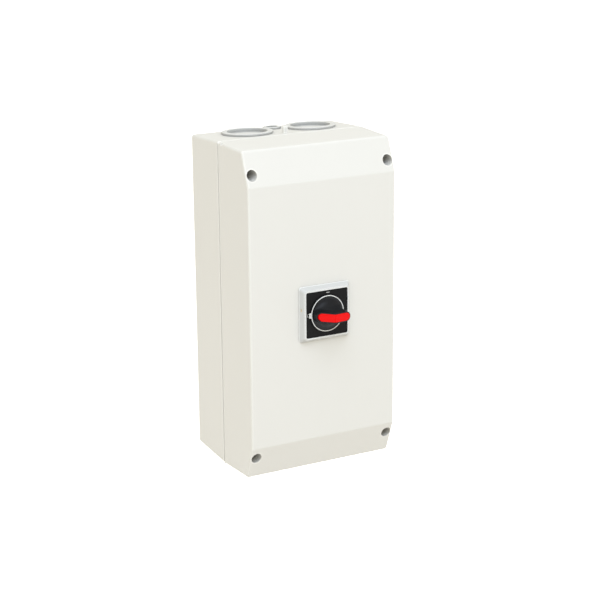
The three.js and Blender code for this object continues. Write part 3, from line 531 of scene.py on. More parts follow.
def dressed(piece, colours, slot, *nodes, sharp_above=32):
    """Finishes a piece that stands in for frame nodes, in the material of its slot."""
    material = finish_named(slot, colours)
    return finished(piece, material, body_of(nodes[0]), nodes, sharp_above)


# Settings shown in the sidebar


def length(name, description, default, low=0.0):
    """A length property in metres, given in millimetres."""
    return FloatProperty(
        name=name, description=description, default=default * MM, min=low, unit="LENGTH", precision=5
    )


def colour(name, description, default):
    return FloatVectorProperty(
        name=name, description=description, default=default, subtype="COLOR", size=3, min=0, max=1
    )


class ShellSizes(bpy.types.PropertyGroup):
    """Sizes of the base, the cover and the entry plugs"""

    corner: length("Corner", "Radius of the edges that run out from the wall", 3.4)
    edge: length("Edge", "Radius of the back and front edges", 2.2)
    crease: length("Crease", "Reach of the rounding where a slanted band meets the front", 1.0)
    wall: length("Wall", "Thickness of the walls", 3.5)
    floor: length("Floor", "Thickness of the base's back", 4.0)
    back_draft_side: length("Side Draft", "How far each side leans in towards the back", 1.95)
    back_draft_end: length("End Draft", "How far the top and bottom lean in towards the back", 3.45)
    front_draft_side: length("Front Side Draft", "How far each side leans in towards the front", 0.72)
    front_draft_end: length("Front End Draft", "How far the ends lean in towards the front", 2.1)
    band_height: length("Band Height", "Height of a slanted band", 39.5)
    band_depth: length("Band Depth", "Depth that a slanted band falls back", 15.0)
    lip: length("Lip", "Thickness of the base's lip inside the cover", 2.0)
    well_bore: length("Well Bore", "Radius of a screw well", 6.4)
    well_wall: length("Well Wall", "Thickness of a screw well's tube", 2.0)
    well_floor: length("Well Floor", "Thickness of a screw well's floor", 5.0)
    plug_wall: length("Plug Wall", "Thickness of an entry plug's neck", 1.8)


class HandleSizes(bpy.types.PropertyGroup):
    """Sizes of the handle plate, the knob and the padlock slide"""

    plate_taper: length("Plate Taper", "How far the plate's sides lean in", 4.3)
    plate_rim: length("Plate Rim", "Width of the rim round the inlay", 2.0)
    skirt: length("Skirt", "Thickness of the knob's skirt", 1.6)
    cove: length("Cove Radius", "Radius at which the knob's hollow flanks start", 19.2)
    grip_width: length("Grip Width", "Width of the grip's crest", 12.0)
    heel: length("Heel", "Height of the grip's left end over the inlay", 9.3)
    crest: length("Crest", "Height of the grip's crest over the inlay", 25.8)
    tip: length("Tip", "Height of the grip's right end over the inlay", 24.0)
    kink: length("Kink", "Where the crest bends, from the knob's axis", -2.8, -0.1)
    tip_reach: length("Tip Reach", "Where the crest ends on the right, from the knob's axis", 17.8)
    slide_width: length("Slide Width", "Width of the padlock slide", 9.4)


class FinishColours(bpy.types.PropertyGroup):
    """Colours of the finishes"""

    enclosure: colour("Enclosure", "Base and cover", (0.775, 0.77, 0.74))
    plugs: colour("Plugs", "Entry plugs", (0.72, 0.725, 0.71))
    handle_plate: colour("Handle Plate", "Handle plate and pointer ring", (0.60, 0.61, 0.605))
    inlay: colour("Inlay", "Black inlay", (0.011, 0.011, 0.0115))
    knob: colour("Knob", "Knob and its stem", (0.009, 0.0098, 0.012))
    slide: colour("Slide", "Padlock slide", (0.90, 0.003, 0.004))
    seals: colour("Seals", "Gaskets and sealing rings", (0.62, 0.61, 0.58))
    sheet: colour("Sheet", "Mounting plate, shaft and clip", (0.62, 0.64, 0.66))
    screws: colour("Screws", "Screws, bolts and the spring", (0.56, 0.57, 0.58))
    brass: colour("Brass", "Earth bar and the defeat screw", (0.72, 0.53, 0.22))
    copper: colour("Copper", "Contacts", (0.75, 0.36, 0.20))
    decks: colour("Decks", "Contact decks and foot", (0.085, 0.09, 0.095))
    mechanism: colour("Mechanism", "Mechanism housing", (0.03, 0.03, 0.032))
    rotor: colour("Rotor", "Rotor", (0.60, 0.58, 0.52))


class StageSettings(bpy.types.PropertyGroup):
    """The floor, the lights and the camera"""

    floor: colour("Floor", "Floor and backdrop", (0.93, 0.93, 0.93))
    floor_glow: FloatProperty(
        name="Floor Glow", description="Light that the floor gives off", default=1.0
    )
    sky_colour: colour("Sky Colour", "Tint of the light from all round", (1.0, 0.955, 0.84))
    sky: FloatProperty(name="Sky", description="Strength of the light from above", default=0.82)
    ground: FloatProperty(name="Ground", description="Strength of the light from below", default=0.74)
    key_colour: colour("Key Colour", "Tint of the light panel", (0.74, 0.84, 1.0))
    key: FloatProperty(name="Key", description="Power of the light panel", default=70.0)
    lens: FloatProperty(name="Lens", description="Focal length in millimetres", default=100.42)


# Shapes shared by the operators


def base_outline(sizes):
    """The base's outline at an inset and a distance: it widens evenly from the back to the rim."""

    def at(inset, distance):
        share = min(max(distance / RIM_AT, 0.0), 1.0)
        width = BASE.width - 2 * sizes.back_draft_side * (1 - share) - 2 * inset
        height = 2 * COVER_HALF - 2 * sizes.back_draft_end * (1 - share) - 2 * inset
        return outline(width, height, max(sizes.corner - inset, 0.4 * MM))

    return at


def post(radius, back, front, hole, hole_to, x, z):
    """A round pillar with a blind screw hole in its front."""
    foot_middle, hole_middle = 0.5 * MM, 0.3 * MM
    profile = [
        (foot_middle, back),
        (radius, back),
        (radius, front),
        (hole, front),
        (hole, hole_to),
        (hole_middle, hole_to),
    ]
    return turned_rings(softened(profile, [0, 0.4 * MM, 0.3 * MM, 0.2 * MM]), 40, x, z)


def rod(radius, back, front, x=0.0, z=0.0, sides=64):
    """A plain cylinder that runs out from the wall, as a cutting shape."""
    return turned_rings([(radius, back), (radius, front)], sides, x, z)


def entry_matrix(node, sizes):
    """Turns a shape made along the distance axis to stand on an end wall at a plug's place."""
    plug = Place(node)
    end = 1 if plug.z > 0 else -1
    at = (plug.back + plug.front) / 2
    height = COVER_HALF - sizes.back_draft_end * (1 - at / RIM_AT)
    lean = math.atan2(sizes.back_draft_end, RIM_AT)
    turn = -lean if end > 0 else math.pi + lean
    upright = Matrix.Rotation(-math.pi / 2, 4, "X")
    return Matrix.Translation((plug.x, -at, end * height)) @ Matrix.Rotation(turn, 4, "X") @ upright


def plug_sizes(node):
    """The rim's radius, the bore's radius, the rim's height and the recess's depth of a plug."""
    rim = Place(node).width / 2
    if rim > 20 * MM:
        return rim, rim - 6.5 * MM, 3 * MM, 4.5 * MM
    return rim, rim - 4.1 * MM, 2.6 * MM, 3.4 * MM


def offset_outline(points, insets):
    """A convex outline with each side moved in by its own inset.

    Side i runs from point i to point i + 1; new corners are where moved sides meet.
    """
    points = np.asarray(points, float)
    along = np.roll(points, -1, 0) - points
    along /= np.linalg.norm(along, axis=1, keepdims=True)
    inward = np.stack([along[:, 1], -along[:, 0]], -1)
    start = points + inward * np.asarray(insets, float)[:, None]
    before, before_along = np.roll(start, 1, 0), np.roll(along, 1, 0)
    gap = start - before
    cross = before_along[:, 0] * along[:, 1] - before_along[:, 1] * along[:, 0]
    reach = (gap[:, 0] * along[:, 1] - gap[:, 1] * along[:, 0]) / cross
    return before + before_along * reach[:, None]


def cover_side(sizes):
    """The cover's side view as (distance, z) corners, from its seam at the top to its foot."""
    drop = sizes.front_draft_end / (COVER.front - COVER.back)
    slope = sizes.band_depth / sizes.band_height
    front_end = COVER_HALF - sizes.front_draft_end
    # The end wall z = half - drop * (d - seam) meets the band d = front - slope * (z - crease).
    end_z = (front_end - drop * slope * COVER.top) / (1 - drop * slope)
    end_at = COVER.front - slope * (end_z - COVER.top)
    upper = [(COVER.back, COVER_HALF), (end_at, end_z), (COVER.front, COVER.top)]
    return np.array(upper + [(distance, -z) for distance, z in upper[::-1]])


def cover_rings(side, half_width, draft, back):
    """A side view carried across the width; the half width shrinks evenly towards the front."""
    share = np.clip((side[:, 0] - back) / (COVER.front - back), 0, None)
    reach = half_width - draft * share
    return np.array([np.stack([sign * reach, -side[:, 0], side[:, 1]], -1) for sign in (-1, 1)])


def bevelled(piece, weight_of, width, segments=4):
    """Rounds edges by a share of a width each; weight_of gives it from the edges' two ends."""
    mesh = piece.data
    points = np.zeros(len(mesh.vertices) * 3, np.float32)
    mesh.vertices.foreach_get("co", points)
    ends = np.zeros(len(mesh.edges) * 2, np.int32)
    mesh.edges.foreach_get("vertices", ends)
    first, last = points.reshape(-1, 3)[ends.reshape(-1, 2)].transpose(1, 0, 2)
    weights = mesh.attributes.new("bevel_weight_edge", "FLOAT", "EDGE")
    weights.data.foreach_set("value", weight_of(first, last).astype(np.float32))
    modifier = piece.modifiers.new("edges", "BEVEL")
    modifier.limit_method = "WEIGHT"
    modifier.width = width
    modifier.segments = segments
    modifier.use_clamp_overlap = False
    settled(piece)
    if "bevel_weight_edge" in piece.data.attributes:
        piece.data.attributes.remove(piece.data.attributes["bevel_weight_edge"])
    return piece


# Operators, one for each piece or group of like pieces


class ISOLATOR_OT_base(bpy.types.Operator):
    """Base of the enclosure, with its lip, pillars, bosses, hook and holes"""

    bl_idname = "isolator.base"
    bl_label = "Base"

    def execute(self, context):
        sizes, colours = context.scene.isolator_shell, context.scene.isolator_colours
        lip_out = sizes.wall + FIT
        lip_in = lip_out + sizes.lip
        middle = 14 * MM
        profile = [
            (middle, 0),
            (0, 0),
            (0, RIM_AT),
            (lip_out, RIM_AT),
            (lip_out, BASE.front),
            (lip_in, BASE.front),
            (lip_in, RIM_AT - 12 * MM),
            (sizes.wall, RIM_AT - 14 * MM),
            (sizes.wall, sizes.floor),
            (middle, sizes.floor),
        ]
        radii = np.array([0, 0.5, 0.15, 0.5, 0.5, 0.4, 0.4, 1.5]) * MM
        radii[0] = sizes.edge
        rings = framed_rings(softened(profile, radii, 4), base_outline(sizes))
        piece = mesh_object("base_shell", Form().add(rings))
        holes = Form()
        for node in PLUGS:
            rim, bore, _, _ = plug_sizes(node)
            hole = Form().add(rod(bore + sizes.plug_wall + FIT, -8 * MM, 4 * MM))
            hole.moved(entry_matrix(node, sizes))
            holes.add(hole.points.reshape(2, -1, 3))
        fixing_x, fixing_z = COVER.width / 2 - 36.5 * MM, COVER_HALF - 24 * MM
        mouth, fixing = 5.2 * MM, 3.2 * MM
        countersink = [(mouth, -CUT), (mouth, 0.6 * MM), (fixing, 1.4 * MM), (fixing, sizes.floor + CUT)]
        for x, z in ((-1, 1), (1, 1), (-1, -1), (1, -1)):
            holes.add(turned_rings(countersink, 48, x * fixing_x, z * fixing_z))
        ejector_radius, ejector_depth = 4 * MM, 0.25 * MM
        for x in (-70 * MM, 0, 70 * MM):
            for z in (-120 * MM, -40 * MM, 40 * MM, 120 * MM):
                holes.add(rod(ejector_radius, -CUT, ejector_depth, x, z, 40))
        cut_away(piece, holes)
        limit = BASE.width / 2 - sizes.back_draft_side - 0.5 * MM
        added = Form()
        foot, deep = sizes.floor - CUT, 9 * MM
        plate_at = Place("mounting_plate").back - FIT
        bar_at = Place("earth_bar").back - FIT
        for corner in CORNERS:
            screw = Place(f"cover_screw_{corner}")
            pillar = post(7 * MM, foot, RIM_AT, 2.8 * MM, RIM_AT - 27 * MM, screw.x, screw.z)
            pillar[..., 0] = np.clip(pillar[..., 0], -limit, limit)
            added.add(pillar)
            screw = Place(f"plate_screw_{corner}")
            added.add(post(6.5 * MM, foot, plate_at, 2.6 * MM, plate_at - deep, screw.x, screw.z))
        for side in ("left", "right"):
            screw = Place(f"earth_screw_{side}")
            added.add(post(5.5 * MM, foot, bar_at, 2.4 * MM, bar_at - deep, screw.x, screw.z))
        cut_away(piece, added, keep=True)
        hook_wide, hook_deep, hook_x, hook_at = 5.5 * MM, 3.5 * MM, -4 * MM, RIM_AT - 7 * MM
        start = COVER_HALF - 2 * sizes.wall
        high = BASE.top - start
        taper = softened([(0, 0), (0, high), (1.5 * MM, high)], [1.3 * MM], 5)
        rings = framed_rings(
            taper, lambda inset, _: outline(hook_wide - 2 * inset, hook_deep - 2 * inset, 0.4 * MM)
        )
        upright = Matrix.Rotation(-math.pi / 2, 4, "X")
        place = Matrix.Translation((hook_x, -hook_at + hook_deep / 2, start))
        cut_away(piece, Form().add(rings).moved(place @ upright), keep=True)
        dressed(piece, colours, "enclosure_plastic", "base_housing")
        return {"FINISHED"}


class ISOLATOR_OT_cover(bpy.types.Operator):
    """Cover with its slanted bands and four screw wells"""

    bl_idname = "isolator.cover"
    bl_label = "Cover"

    def execute(self, context):
        sizes, colours = context.scene.isolator_shell, context.scene.isolator_colours
        side = cover_side(sizes)
        rings = cover_rings(side, COVER.width / 2, sizes.front_draft_side, COVER.back)
        piece = mesh_object("cover_shell", Form().add(rings))
        band_from = side[1, 0] + 0.1 * MM

        def weight(first, last):
            """Full on the edges that run out from the wall, less on the front, least at the seam."""
            distance = -np.stack([first[:, 1], last[:, 1]])
            height = np.abs(np.stack([first[:, 2], last[:, 2]]))
            seam = (distance < COVER.back + 0.1 * MM).all(0)
            outward = ~seam & (distance.min(0) < COVER.back + 0.1 * MM)
            crease = (distance > band_from).all(0) & (np.abs(first[:, 0] - last[:, 0]) > 0.1)
            crease &= (height < COVER.top + 0.1 * MM).all(0)
            share = np.full(len(first), sizes.edge / sizes.corner)
            share[outward] = 1.0
            share[crease] = sizes.crease / sizes.corner
            share[seam] = 0.4 * MM / sizes.corner
            return share

        bevelled(piece, weight, sizes.corner, 5)
        wall = sizes.wall
        inner = offset_outline(side, [wall, wall, wall, wall, wall, -2 * CUT])
        rings = cover_rings(inner, COVER.width / 2 - wall, sizes.front_draft_side, COVER.back)
        cavity = mesh_object("cover_cavity", Form().add(rings))

        def before_mouth(first, last):
            """1 on the cavity's edges that lie in front of its open back, and 0 at its mouth."""
            return (first[:, 1] + last[:, 1] < -2 * COVER.back - CUT) * 1.0

        bevelled(cavity, before_mouth, 1.2 * MM, 3)
        tubes, bores = Form(), Form()
        well_outer = sizes.well_bore + sizes.well_wall
        screw_head, screw_hole = 4 * MM, 2.8 * MM
        well_floor = Place("cover_screw_top_left").front - screw_head - FIT
        tube_foot = well_floor - sizes.well_floor
        for corner in CORNERS:
            screw = Place(f"cover_screw_{corner}")
            tubes.add(rod(well_outer, tube_foot, COVER.front + CUT, screw.x, screw.z))
            bore = [
                (screw_hole, COVER.back),
                (screw_hole, well_floor),
                (sizes.well_bore, well_floor),
                (sizes.well_bore, COVER.front + CUT),
            ]
            bores.add(turned_rings(softened(bore, [0, 0.8 * MM]), 72, screw.x, screw.z))
        bores.add(rod(STEM_HOLE, COVER.front - 2 * wall, COVER.front + CUT, 0, AXIS_Z))
        for name in ("left", "right"):
            screw = Place(f"handle_screw_{name}")
            bores.add(rod(2.3 * MM, COVER.front - 2 * wall, COVER.front + CUT, screw.x, screw.z, 32))
        notch = [(0, COVER.back + 6 * MM), (0, COVER.back + 9.5 * MM)]
        pry_slot = outline(6 * MM, 6 * MM, 0.5 * MM, -COVER.width / 2, COVER_HALF)
        bores.add(framed_rings(notch, lambda *_: pry_slot))
        cut_away(cavity, tubes)
        shape = Form()
        mesh = cavity.data
        shape.points = np.array([vertex.co for vertex in mesh.vertices])
        shape.faces = [list(face.vertices) for face in mesh.polygons]
        bpy.data.objects.remove(cavity)
        cut_away(piece, shape)
        cut_away(piece, bores)
        nodes = ("cover", "cover_top_end", "cover_bottom_end")
        dressed(piece, colours, "enclosure_plastic", *nodes)
        return {"FINISHED"}


class ISOLATOR_OT_cover_gasket(bpy.types.Operator):
    """Foam seal in the seam between the base and the cover"""

    bl_idname = "isolator.cover_gasket"
    bl_label = "Cover Gasket"

    def execute(self, context):
        colours = context.scene.isolator_colours
        near, width, corner = (BASE.width - SEAL.width) / 2, 2.4 * MM, 4 * MM
        far = near + width
        profile = [(near, SEAL.back), (near, SEAL.front), (far, SEAL.front), (far, SEAL.back)]
        sections = softened([*profile, profile[0]], 0.3 * MM)[:-1]
        rings = framed_rings(
            sections,
            lambda inset, _: outline(
                BASE.width - 2 * inset, 2 * COVER_HALF - 2 * inset, corner - inset
            ),
        )
        piece = mesh_object("seam_gasket", Form().add(rings, closed=True))
        dressed(piece, colours, "seal_rubber", "cover_gasket")
        return {"FINISHED"}


class ISOLATOR_OT_entry_plugs(bpy.types.Operator):
    """Closing plugs of the cable entries, two large and one small in each end"""

    bl_idname = "isolator.entry_plugs"
    bl_label = "Entry Plugs"

    def execute(self, context):
        sizes, colours = context.scene.isolator_shell, context.scene.isolator_colours
        for node in PLUGS:
            rim, bore, height, recess = plug_sizes(node)
            neck = bore + sizes.plug_wall
            top = height - recess
            foot = -sizes.wall - 2 * MM
            profile = [
                (0.4 * MM, top - 2 * MM),
                (bore, top - 2 * MM),
                (bore, foot),
                (neck, foot),
                (neck, FIT),
                (rim, FIT),
                (rim, height),
                (bore, height),
                (bore, top),
                (0.72 * bore, top),
                (0.68 * bore, top + 0.5 * MM),
                (0.4 * MM, top + 0.5 * MM),
            ]
            radii = np.array([0.3, 0.4, 0.5, 0.2, 0.2, 0.9, 0.6, 0.4, 0.3, 0.3]) * MM
            form = Form().add(turned_rings(softened(profile, radii, 4), 120))
            form.moved(entry_matrix(node, sizes))
            piece = mesh_object(node.replace("entry_plug", "plug_body"), form)
            dressed(piece, colours, "plug_plastic", node)
        return {"FINISHED"}


def cross_recess(turn, arm, half):
    """A cross of two bars as a distance from the axis by angle: the further of the bars' edges."""
    along = np.maximum(np.abs(np.cos(turn)), NEARLY_ZERO)
    side = np.maximum(np.abs(np.sin(turn)), NEARLY_ZERO)
    return np.maximum(np.minimum(arm / along, half / side), np.minimum(arm / side, half / along))


class ISOLATOR_OT_screws(bpy.types.Operator):
    """Every screw and bolt but the defeat screw, with a cross recess in its head"""

    bl_idname = "isolator.screws"
    bl_label = "Screws"

    def execute(self, context):
        colours = context.scene.isolator_colours
        shanks = {"cover": 2.5, "plate": 2.2, "earth": 2.2, "stack": 2.4, "handle": 2.0}
        terminal_shank, cover_head = 1.9, 4 * MM
        tip_taper, tip_middle = 0.8 * MM, 0.3 * MM
        sides = 96
        for node in NODES:
            if node == "defeat_screw" or not ("screw" in node or "bolt" in node):
                continue
            place = Place(node)
            long, radius = place.front - place.back, place.width / 2
            shank = min(shanks.get(node.split("_")[0], terminal_shank) * MM, 0.72 * radius)
            head = min(cover_head if node.startswith("cover") else 0.8 * radius, 0.5 * long)
            arm, half = 0.62 * radius, 0.17 * radius
            profile = [
                (tip_middle, 0),
                (shank * 0.8, 0),
                (shank, tip_taper),
                (shank, long - head),
                (radius, long - head),
                (radius, long - 0.25 * head),
                (0.86 * radius, long),
            ]
            line = softened(profile, np.array([0.1, 0.2, 0.15, 0.1, 0.4]) * MM)
            rings = list(turned_rings(line, sides))
            rings.append(standing(circle(0.74 * radius, sides), long))
            mouth = polar(lambda turn: cross_recess(turn, 1.06 * arm, half) + 0.03 * radius, sides)
            rings.append(standing(mouth, long))
            for size, drop in ((1.0, 0.05), (0.8, 0.5), (0.62, 0.6)):
                cross = polar(lambda turn: cross_recess(turn, size * arm, half), sides)
                rings.append(standing(cross, long - drop * head))
            rings = np.array(rings)
            if node.startswith("handle_screw"):  # put in from inside, so the head faces the wall
                rings = (rings * [1, -1, 1] - [0, place.back + long, 0])[:, ::-1]
            else:
                rings = rings - [0, place.back, 0]
            rings = rings + [place.x, 0, place.z]
            name = node.replace("screw", "fastener").replace("bolt", "fastener")
            dressed(mesh_object(name, Form().add(rings)), colours, "screw_steel", node)
        return {"FINISHED"}


class ISOLATOR_OT_handle_plate(bpy.types.Operator):
    """Square plate round the knob, hollow behind, with a window for the inlay"""

    bl_idname = "isolator.handle_plate"
    bl_label = "Handle Plate"

    def execute(self, context):
        sizes, colours = context.scene.isolator_handle, context.scene.isolator_colours
        base, front = PLATE.width, PLATE.width - 2 * sizes.plate_taper
        back_at, rim_at = PLATE.back, PLATE.front
        corner, smallest_corner = 3.2 * MM, 0.8 * MM

        def at(inset, distance):
            """The plate's outline, which narrows evenly towards its rim."""
            share = min(max((distance - back_at) / (rim_at - back_at), 0), 1)
            side = base + (front - base) * share - 2 * inset
            radius = max(corner - 0.6 * inset, smallest_corner)
            return outline(side, side, radius, 0, AXIS_Z, 8)

        window_half = min(front / 2 - sizes.plate_rim, INLAY.width / 2 - 1.2 * MM)
        web = INLAY.back - FIT
        pad_edge, middle = base / 2 - 29.5 * MM, base / 2 - 12 * MM
        pad_hollow = back_at + 1.6 * MM
        profile = [
            (middle, pad_hollow),
            (pad_edge, pad_hollow),
            (pad_edge, back_at),
            (0, back_at),
            (0, rim_at),
            (front / 2 - window_half, rim_at),
            (front / 2 - window_half, web),
            (middle, web),
        ]
        radii = np.array([0.3, 0.3, 0.4, 0.9, 0.5, 0.25]) * MM
        rings = framed_rings(softened(profile, radii, 4), at)
        piece = mesh_object("plate_shell", Form().add(rings))
        holes = Form().add(rod(STEM_HOLE, back_at - CUT, rim_at + CUT, 0, AXIS_Z, 96))
        latch_slot = [(0, web + 0.4 * MM), (0, web + 1.6 * MM)]
        screw_hole, screw_web = 1.8 * MM, 0.8 * MM
        for side, name in ((-1, "left"), (1, "right")):
            screw = Place(f"handle_screw_{name}")
            holes.add(rod(screw_hole, back_at - CUT, web - screw_web, screw.x, screw.z, 32))
            x = side * (window_half + 0.8 * MM)
            for z in LATCHES_AT:
                shape = outline(2.2 * MM, 4.8 * MM, 0.2 * MM, x, AXIS_Z + z, 2)
                holes.add(framed_rings(latch_slot, lambda *_: shape))
        cut_away(piece, holes)
        dressed(piece, colours, "handle_white", "handle_plate")
        return {"FINISHED"}


class ISOLATOR_OT_handle_inlay(bpy.types.Operator):
    """Black inlay with a round hole, four latches and two plain position marks"""

    bl_idname = "isolator.handle_inlay"
    bl_label = "Handle Inlay"

    def execute(self, context):
        colours = context.scene.isolator_colours
        side, front, back = INLAY.height, INLAY.front, INLAY.back
        corner, bevel, bore, steps = 0.8 * MM, 0.35 * MM, 9.3 * MM, 11
        centre = np.array([0, AXIS_Z])
        outer = outline(side, side, corner, 0, AXIS_Z, steps)
        small = outline(side - 2 * bevel, side - 2 * bevel, corner - bevel, 0, AXIS_Z, steps)
        angle = np.arctan2(outer[:, 1] - AXIS_Z, outer[:, 0])
        unit = np.stack([np.cos(angle), np.sin(angle)], -1)
        rings = [
            standing(outer, back),
            standing(outer, front - bevel),
            standing(small, front),
            standing(centre + (bore + bevel) * unit, front),
            standing(centre + bore * unit, front - bevel),
            standing(centre + bore * unit, back),
        ]
        piece = mesh_object("inlay_panel", Form().add(np.array(rings), closed=True))
        latches = Form()
        reach = INLAY.width / 2
        latch_wide, latch_high = reach - side / 2 + 0.6 * MM, 4.2 * MM
        bar = softened(
            [(0.6 * MM, back + 0.3 * MM), (0, back + 0.5 * MM), (0, back + 1.3 * MM)], 0.1 * MM
        )
        for sign in (-1, 1):
            middle = sign * (side / 2 + reach) / 2 - sign * 0.3 * MM
            for z in LATCHES_AT:
                rings = framed_rings(
                    bar,
                    lambda inset, _: outline(
                        latch_wide, latch_high - 2 * inset, 0.15 * MM, middle, AXIS_Z + z, 2
                    ),
                )
                latches.add(rings)
        cut_away(piece, latches, keep=True)
        dressed(piece, colours, "handle_black", "handle_inlay")
        self.marks(side, front)
        return {"FINISHED"}

    def marks(self, side, front):
        """A printed bar over the ring for on, and a printed ring at its left for off."""
        raised = np.array([(0.1, -0.05), (0, -0.04), (0, 0.02), (0.1, 0.04)]) * MM + [0, front]
        bar_wide, bar_high = 4.6 * MM, 1.1 * MM
        top_at = AXIS_Z + (side / 2 + RING.height / 2 + 0.4 * MM) / 2
        rings = framed_rings(
            raised,
            lambda inset, _: outline(
                bar_wide - 2 * inset, bar_high - 2 * inset, 0.3 * MM, 1.5 * MM, top_at
            ),
        )
        bar = mesh_object("on_mark", Form().add(rings))
        finished(bar, print_white(), body_of("handle_inlay"), [])
        section = np.array([(1.9, 0), (1.9, 0.05), (1.25, 0.05), (1.25, 0)]) * MM
        band = turned_rings(section + [0, front - 0.01 * MM], 48, -24.4 * MM, AXIS_Z)
        ring = mesh_object("off_mark", Form().add(band, closed=True))
        finished(ring, print_white(), body_of("handle_inlay"), [])


def crest_height(sizes, x):
    """The grip's crest over the inlay's face: up from the heel to the kink, then gently on."""
    heel_at, kink, tip_at = -SLIDE_HEEL, sizes.kink, sizes.tip_reach
    return np.interp(x, [heel_at, kink, tip_at], [sizes.heel, sizes.crest, sizes.tip])


def grip_outline(sizes, steps, inset=0.0):
    """The crest seen from the front: a long bar with a pointed left end and a rounded right end."""
    half = sizes.grip_width / 2 - inset
    left, right = -SLIDE_HEEL + inset, sizes.tip_reach - inset
    nose = left + 0.9 * half

    def straight(start, end, z):
        """A level run of points, without its first."""
        return np.stack([np.linspace(start, end, steps)[1:], np.full(steps - 1, z)], -1)

    arc = np.linspace(-np.pi / 2, np.pi / 2, steps)
    tip = np.stack([right - half + half * np.cos(arc), half * np.sin(arc)], -1)
    upper = straight(right - half, sizes.kink, half)
    heel_top = straight(sizes.kink, nose, half)
    arc = np.linspace(np.pi / 2, 3 * np.pi / 2, 2 * steps)[1:]
    heel = np.stack([nose + (nose - left) * np.cos(arc), half * np.sin(arc)], -1)
    lower = straight(nose, sizes.kink, -half)
    back = straight(sizes.kink, right - half, -half)[:-1]
    return np.vstack([tip, upper, heel_top, heel, lower, back])


class ISOLATOR_OT_knob(bpy.types.Operator):
    """Knob: a round skirt that sweeps up in hollow flanks to a long grip with a slot for the slide"""

    bl_idname = "isolator.knob"
    bl_label = "Knob"

    def execute(self, context):
        sizes, colours = context.scene.isolator_handle, context.scene.isolator_colours
        steps, flank_steps = 12, 20
        edge, rim = 0.5 * MM, 0.5 * MM
        crest = grip_outline(sizes, steps)
        turn = np.arctan2(crest[:, 1], crest[:, 0])
        unit = np.stack([np.cos(turn), np.sin(turn)], -1)
        floor_at, skirt_at = KNOB.back, KNOB.back + sizes.skirt
        top = INLAY_FACE + crest_height(sizes, crest[:, 0])

        def level(points, distance):
            return standing(points, distance) + [0, 0, AXIS_Z]

        rings = [
            level((SKIRT_RADIUS - edge) * unit, floor_at),
            level(SKIRT_RADIUS * unit, floor_at + edge),
            level(SKIRT_RADIUS * unit, skirt_at - edge),
            level((SKIRT_RADIUS - 0.3 * edge) * unit, skirt_at - 0.3 * edge),
            level((SKIRT_RADIUS - edge) * unit, skirt_at),
            level((sizes.cove + 0.4 * MM) * unit, skirt_at + 0.02 * MM),
        ]
        for turned in np.linspace(0, np.pi / 2, flank_steps + 1)[1:-1]:
            across, up = math.sin(turned), 1 - math.cos(turned)
            points = sizes.cove * unit * (1 - across) + crest * across
            rings.append(level(points, skirt_at + (top - skirt_at) * up))
        recess = grip_outline(sizes, steps, (sizes.grip_width - sizes.slide_width) / 2 - 0.2 * MM)
        recess_top = INLAY_FACE + crest_height(sizes, recess[:, 0])
        rings += [
            level(crest, top - rim),
            level(grip_outline(sizes, steps, 0.35 * rim), top - 0.3 * rim),
            level(grip_outline(sizes, steps, rim), top),
            level(recess, recess_top - 0.1 * MM),
            level(recess, recess_top - SLIDE_THICK - FIT),
        ]
        piece = mesh_object("knob_grip", Form().add(np.array(rings)))
        flat = piece.modifiers.new("flat", "TRIANGULATE")
        flat.min_vertices = 4
        settled(piece)
        web_slot = [(0, INLAY_FACE + WEB_LOW - FIT), (0, INLAY_FACE + sizes.tip)]
        width, height = WEB_WIDTH + 2 * FIT, WEB_THICK + 2 * FIT
        shape = outline(width, height, 0.5 * MM, WEB_X, AXIS_Z, 3)
        hollow = Form().add(framed_rings(web_slot, lambda *_: shape))
        stem_socket = floor_at + 9.5 * MM
        hollow.add(rod(STEM.width / 2 + FIT, floor_at - CUT, stem_socket, 0, AXIS_Z, 64))
        cut_away(piece, hollow)
        dressed(piece, colours, "knob_black", "knob", sharp_above=40)
        return {"FINISHED"}


